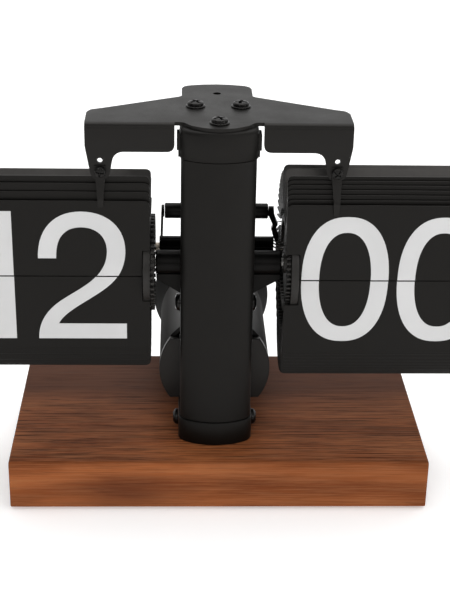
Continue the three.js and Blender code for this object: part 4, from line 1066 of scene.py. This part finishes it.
def build_lid():
    bm = bmesh.new()
    profile = [(LID_FRONT, LID_BORE), (LID_FRONT, CAN_R - 0.2), (LID_FRONT + 0.3, CAN_R)]
    flare, flare_end = LID_FRONT + 0.8, CAN_REAR + 17
    for k in range(13):
        t = k / 12
        profile.append((flare + (flare_end - flare) * t, CAN_R + (LID_R - 0.4 - CAN_R) * t ** 1.3))
    profile += [(flare_end + 1, LID_R - 0.1), (flare_end + 2, LID_R)]
    for k in range(7):
        a = math.radians(90 * k / 6)
        profile.append((LID_END - LID_FILLET + LID_FILLET * math.sin(a),
                        LID_R - LID_FILLET + LID_FILLET * math.cos(a)))
    profile += [(LID_END, 21.0), (LID_END - 0.8, 20.2), (LID_END - 0.8, 0)]
    lathe(bm, profile, "Y", (0, CAN_Z), 128)
    lathe(bm, [(LID_END - 1.2, 0), (LID_END - 1.2, LID_BORE), (LID_FRONT, LID_BORE)], "Y", (0, CAN_Z), 128)
    grip = rectangle(-2.0, CAN_Z - 15, 2.0, CAN_Z + 15)
    prism(bm, rounded(grip, 1.9, closed=True), "Y", LID_END - 0.9, LID_END - 0.1)
    finish_mesh("battery_lid", bm, ["flat_black"], "battery_door", replaces=("battery_cap",))


# ---------------- spring wires at the right-hand click


WIRES = (((24.5, -3.6, 106.9), (29.9, -0.6, 104.3)), ((24.5, -3.6, 105.5), (30.2, -0.8, 103.2)),
         ((24.5, -3.6, 104.0), (29.4, -1.0, 102.0)))
WIRE_R = 0.36
WIRE_SAG = 0.8


def build_wires():
    bm = bmesh.new()
    for start, end in WIRES:
        a, b = Vector(start), Vector(end)
        along = (b - a).normalized()
        side = along.cross(Vector((0, 0, 1))).normalized()
        up = side.cross(along)
        loops = []
        for k in range(13):
            centre = a.lerp(b, k / 12) - Vector((0, 0, WIRE_SAG)) * math.sin(math.pi * k / 12)
            loops.append([centre + side * u + up * v for u, v in
                          ((1.3 * WIRE_R * math.cos(c), WIRE_R * math.sin(c))
                           for c in (2 * math.pi * m / 10 for m in range(10)))])
        skin(bm, loops)
    finish_mesh("click_wires", bm, ["steel"], "root", angle=50)


# ---------------- materials and edges on the CAD nodes

def dress_nodes():
    slots = {s["node"]: s["material_slot"] for s in frame["record"]["subparts"]}
    for name, node in NODES.items():
        paint = PAINTS[slots[name]]
        node.data.materials.clear()
        node.data.materials.append(paint.mat)
        for polygon in node.data.polygons:
            polygon.material_index = 0
        weld = node.modifiers.new("weld", "WELD")
        weld.merge_threshold = 1e-6
        round_edges(node, 0.12, 2, 40)
        node.data.shade_smooth()


# ---------------- stage, lights and camera (m)

FLOOR_REACH = 6.0
STUDIO_MIDDLE = (0, 0, 0.1)
# name, place, size, power
LIGHTS = (
    ("overhead", (0.1, 0.25, 1.5), (1.6, 1.2), 12),
    ("front_top", (0.1, -1.15, 1.0), (1.6, 0.9), 4),
    ("front_left", (-0.52, -1.35, 0.74), (0.6, 0.45), 2.5),
    ("front_right", (0.66, -1.35, 0.74), (0.6, 0.45), 2.5),
    ("right", (1.2, -0.7, 0.35), (0.5, 0.7), 2.5),
)
LENS_MM = 82.638
CAMERA_PLACE = (-0.0162, -0.5569, 0.33045)
PITCH, YAW, ROLL = 24.51, 2.13, 1.1


def build_stage():
    mesh = bpy.data.meshes.new("floor")
    corners = [(x * FLOOR_REACH, y * FLOOR_REACH, 0) for x, y in ((-1, -1), (1, -1), (1, 1), (-1, 1))]
    mesh.from_pydata(corners, [], [(0, 1, 2, 3)])
    floor = bpy.data.objects.new("floor", mesh)
    bpy.context.scene.collection.objects.link(floor)
    paint = Paint("floor_white", (0.95, 0.95, 0.95), 0.7)
    paint.drive(rough=paint.grey(paint.noise(3.0), 0.65, 0.75))
    paint.shader.inputs["Emission Color"].default_value = (1, 1, 1, 1)
    paint.shader.inputs["Emission Strength"].default_value = 0.3
    mesh.materials.append(paint.mat)


def soft_light(name, where, size, power):
    data = bpy.data.lights.new(name, "AREA")
    data.shape = "RECTANGLE"
    data.size, data.size_y = size
    data.energy = power
    lamp = bpy.data.objects.new(name, data)
    lamp.location = where
    aim = Vector(STUDIO_MIDDLE) - Vector(where)
    lamp.rotation_euler = aim.to_track_quat("-Z", "Y").to_euler()
    bpy.context.scene.collection.objects.link(lamp)


def build_lights():
    """Area lights and a world that is dim in front and bright behind."""
    world = bpy.data.worlds.new("studio")
    bpy.context.scene.world = world
    world.use_nodes = True
    tree = world.node_tree
    background = next(n for n in tree.nodes if n.type == "BACKGROUND")
    where = tree.nodes.new("ShaderNodeTexCoord")
    split = tree.nodes.new("ShaderNodeSeparateXYZ")
    tree.links.new(where.outputs["Generated"], split.inputs[0])
    fade = tree.nodes.new("ShaderNodeMapRange")
    fade.interpolation_type = "SMOOTHSTEP"
    fade.inputs["From Min"].default_value = -0.5
    fade.inputs["From Max"].default_value = 0.45
    fade.inputs["To Min"].default_value = 0.12
    fade.inputs["To Max"].default_value = 1.04
    tree.links.new(split.outputs["Y"], fade.inputs["Value"])
    tree.links.new(fade.outputs[0], background.inputs["Strength"])
    background.inputs["Color"].default_value = (1, 1, 1, 1)
    for light in LIGHTS:
        soft_light(*light)


def build_camera():
    data = bpy.data.cameras.new("camera")
    data.sensor_width = 36.0
    data.lens = LENS_MM
    data.clip_start = 0.01
    data.clip_end = 50.0
    camera = bpy.data.objects.new("camera", data)
    pitch, yaw, roll = (math.radians(a) for a in (PITCH, YAW, ROLL))
    forward = Vector((math.sin(yaw) * math.cos(pitch), math.cos(yaw) * math.cos(pitch), -math.sin(pitch)))
    right = Vector((math.cos(yaw), -math.sin(yaw), 0))
    up = right.cross(forward)
    side = right * math.cos(roll) + up * math.sin(roll)
    top = up * math.cos(roll) - right * math.sin(roll)
    turn = Matrix((side, top, -forward)).transposed()
    camera.matrix_world = Matrix.Translation(CAMERA_PLACE) @ turn.to_4x4()
    bpy.context.scene.collection.objects.link(camera)
    bpy.context.scene.camera = camera


build_base()
build_cards()
build_digits()
build_column()
build_bracket()
build_screws()
build_fingers()
build_beside_column()
build_can()
build_lid()
build_wires()
dress_nodes()
build_stage()
build_lights()
build_camera()
bpy.context.scene.view_settings.view_transform = "Standard"

bpy.context.view_layer.update()
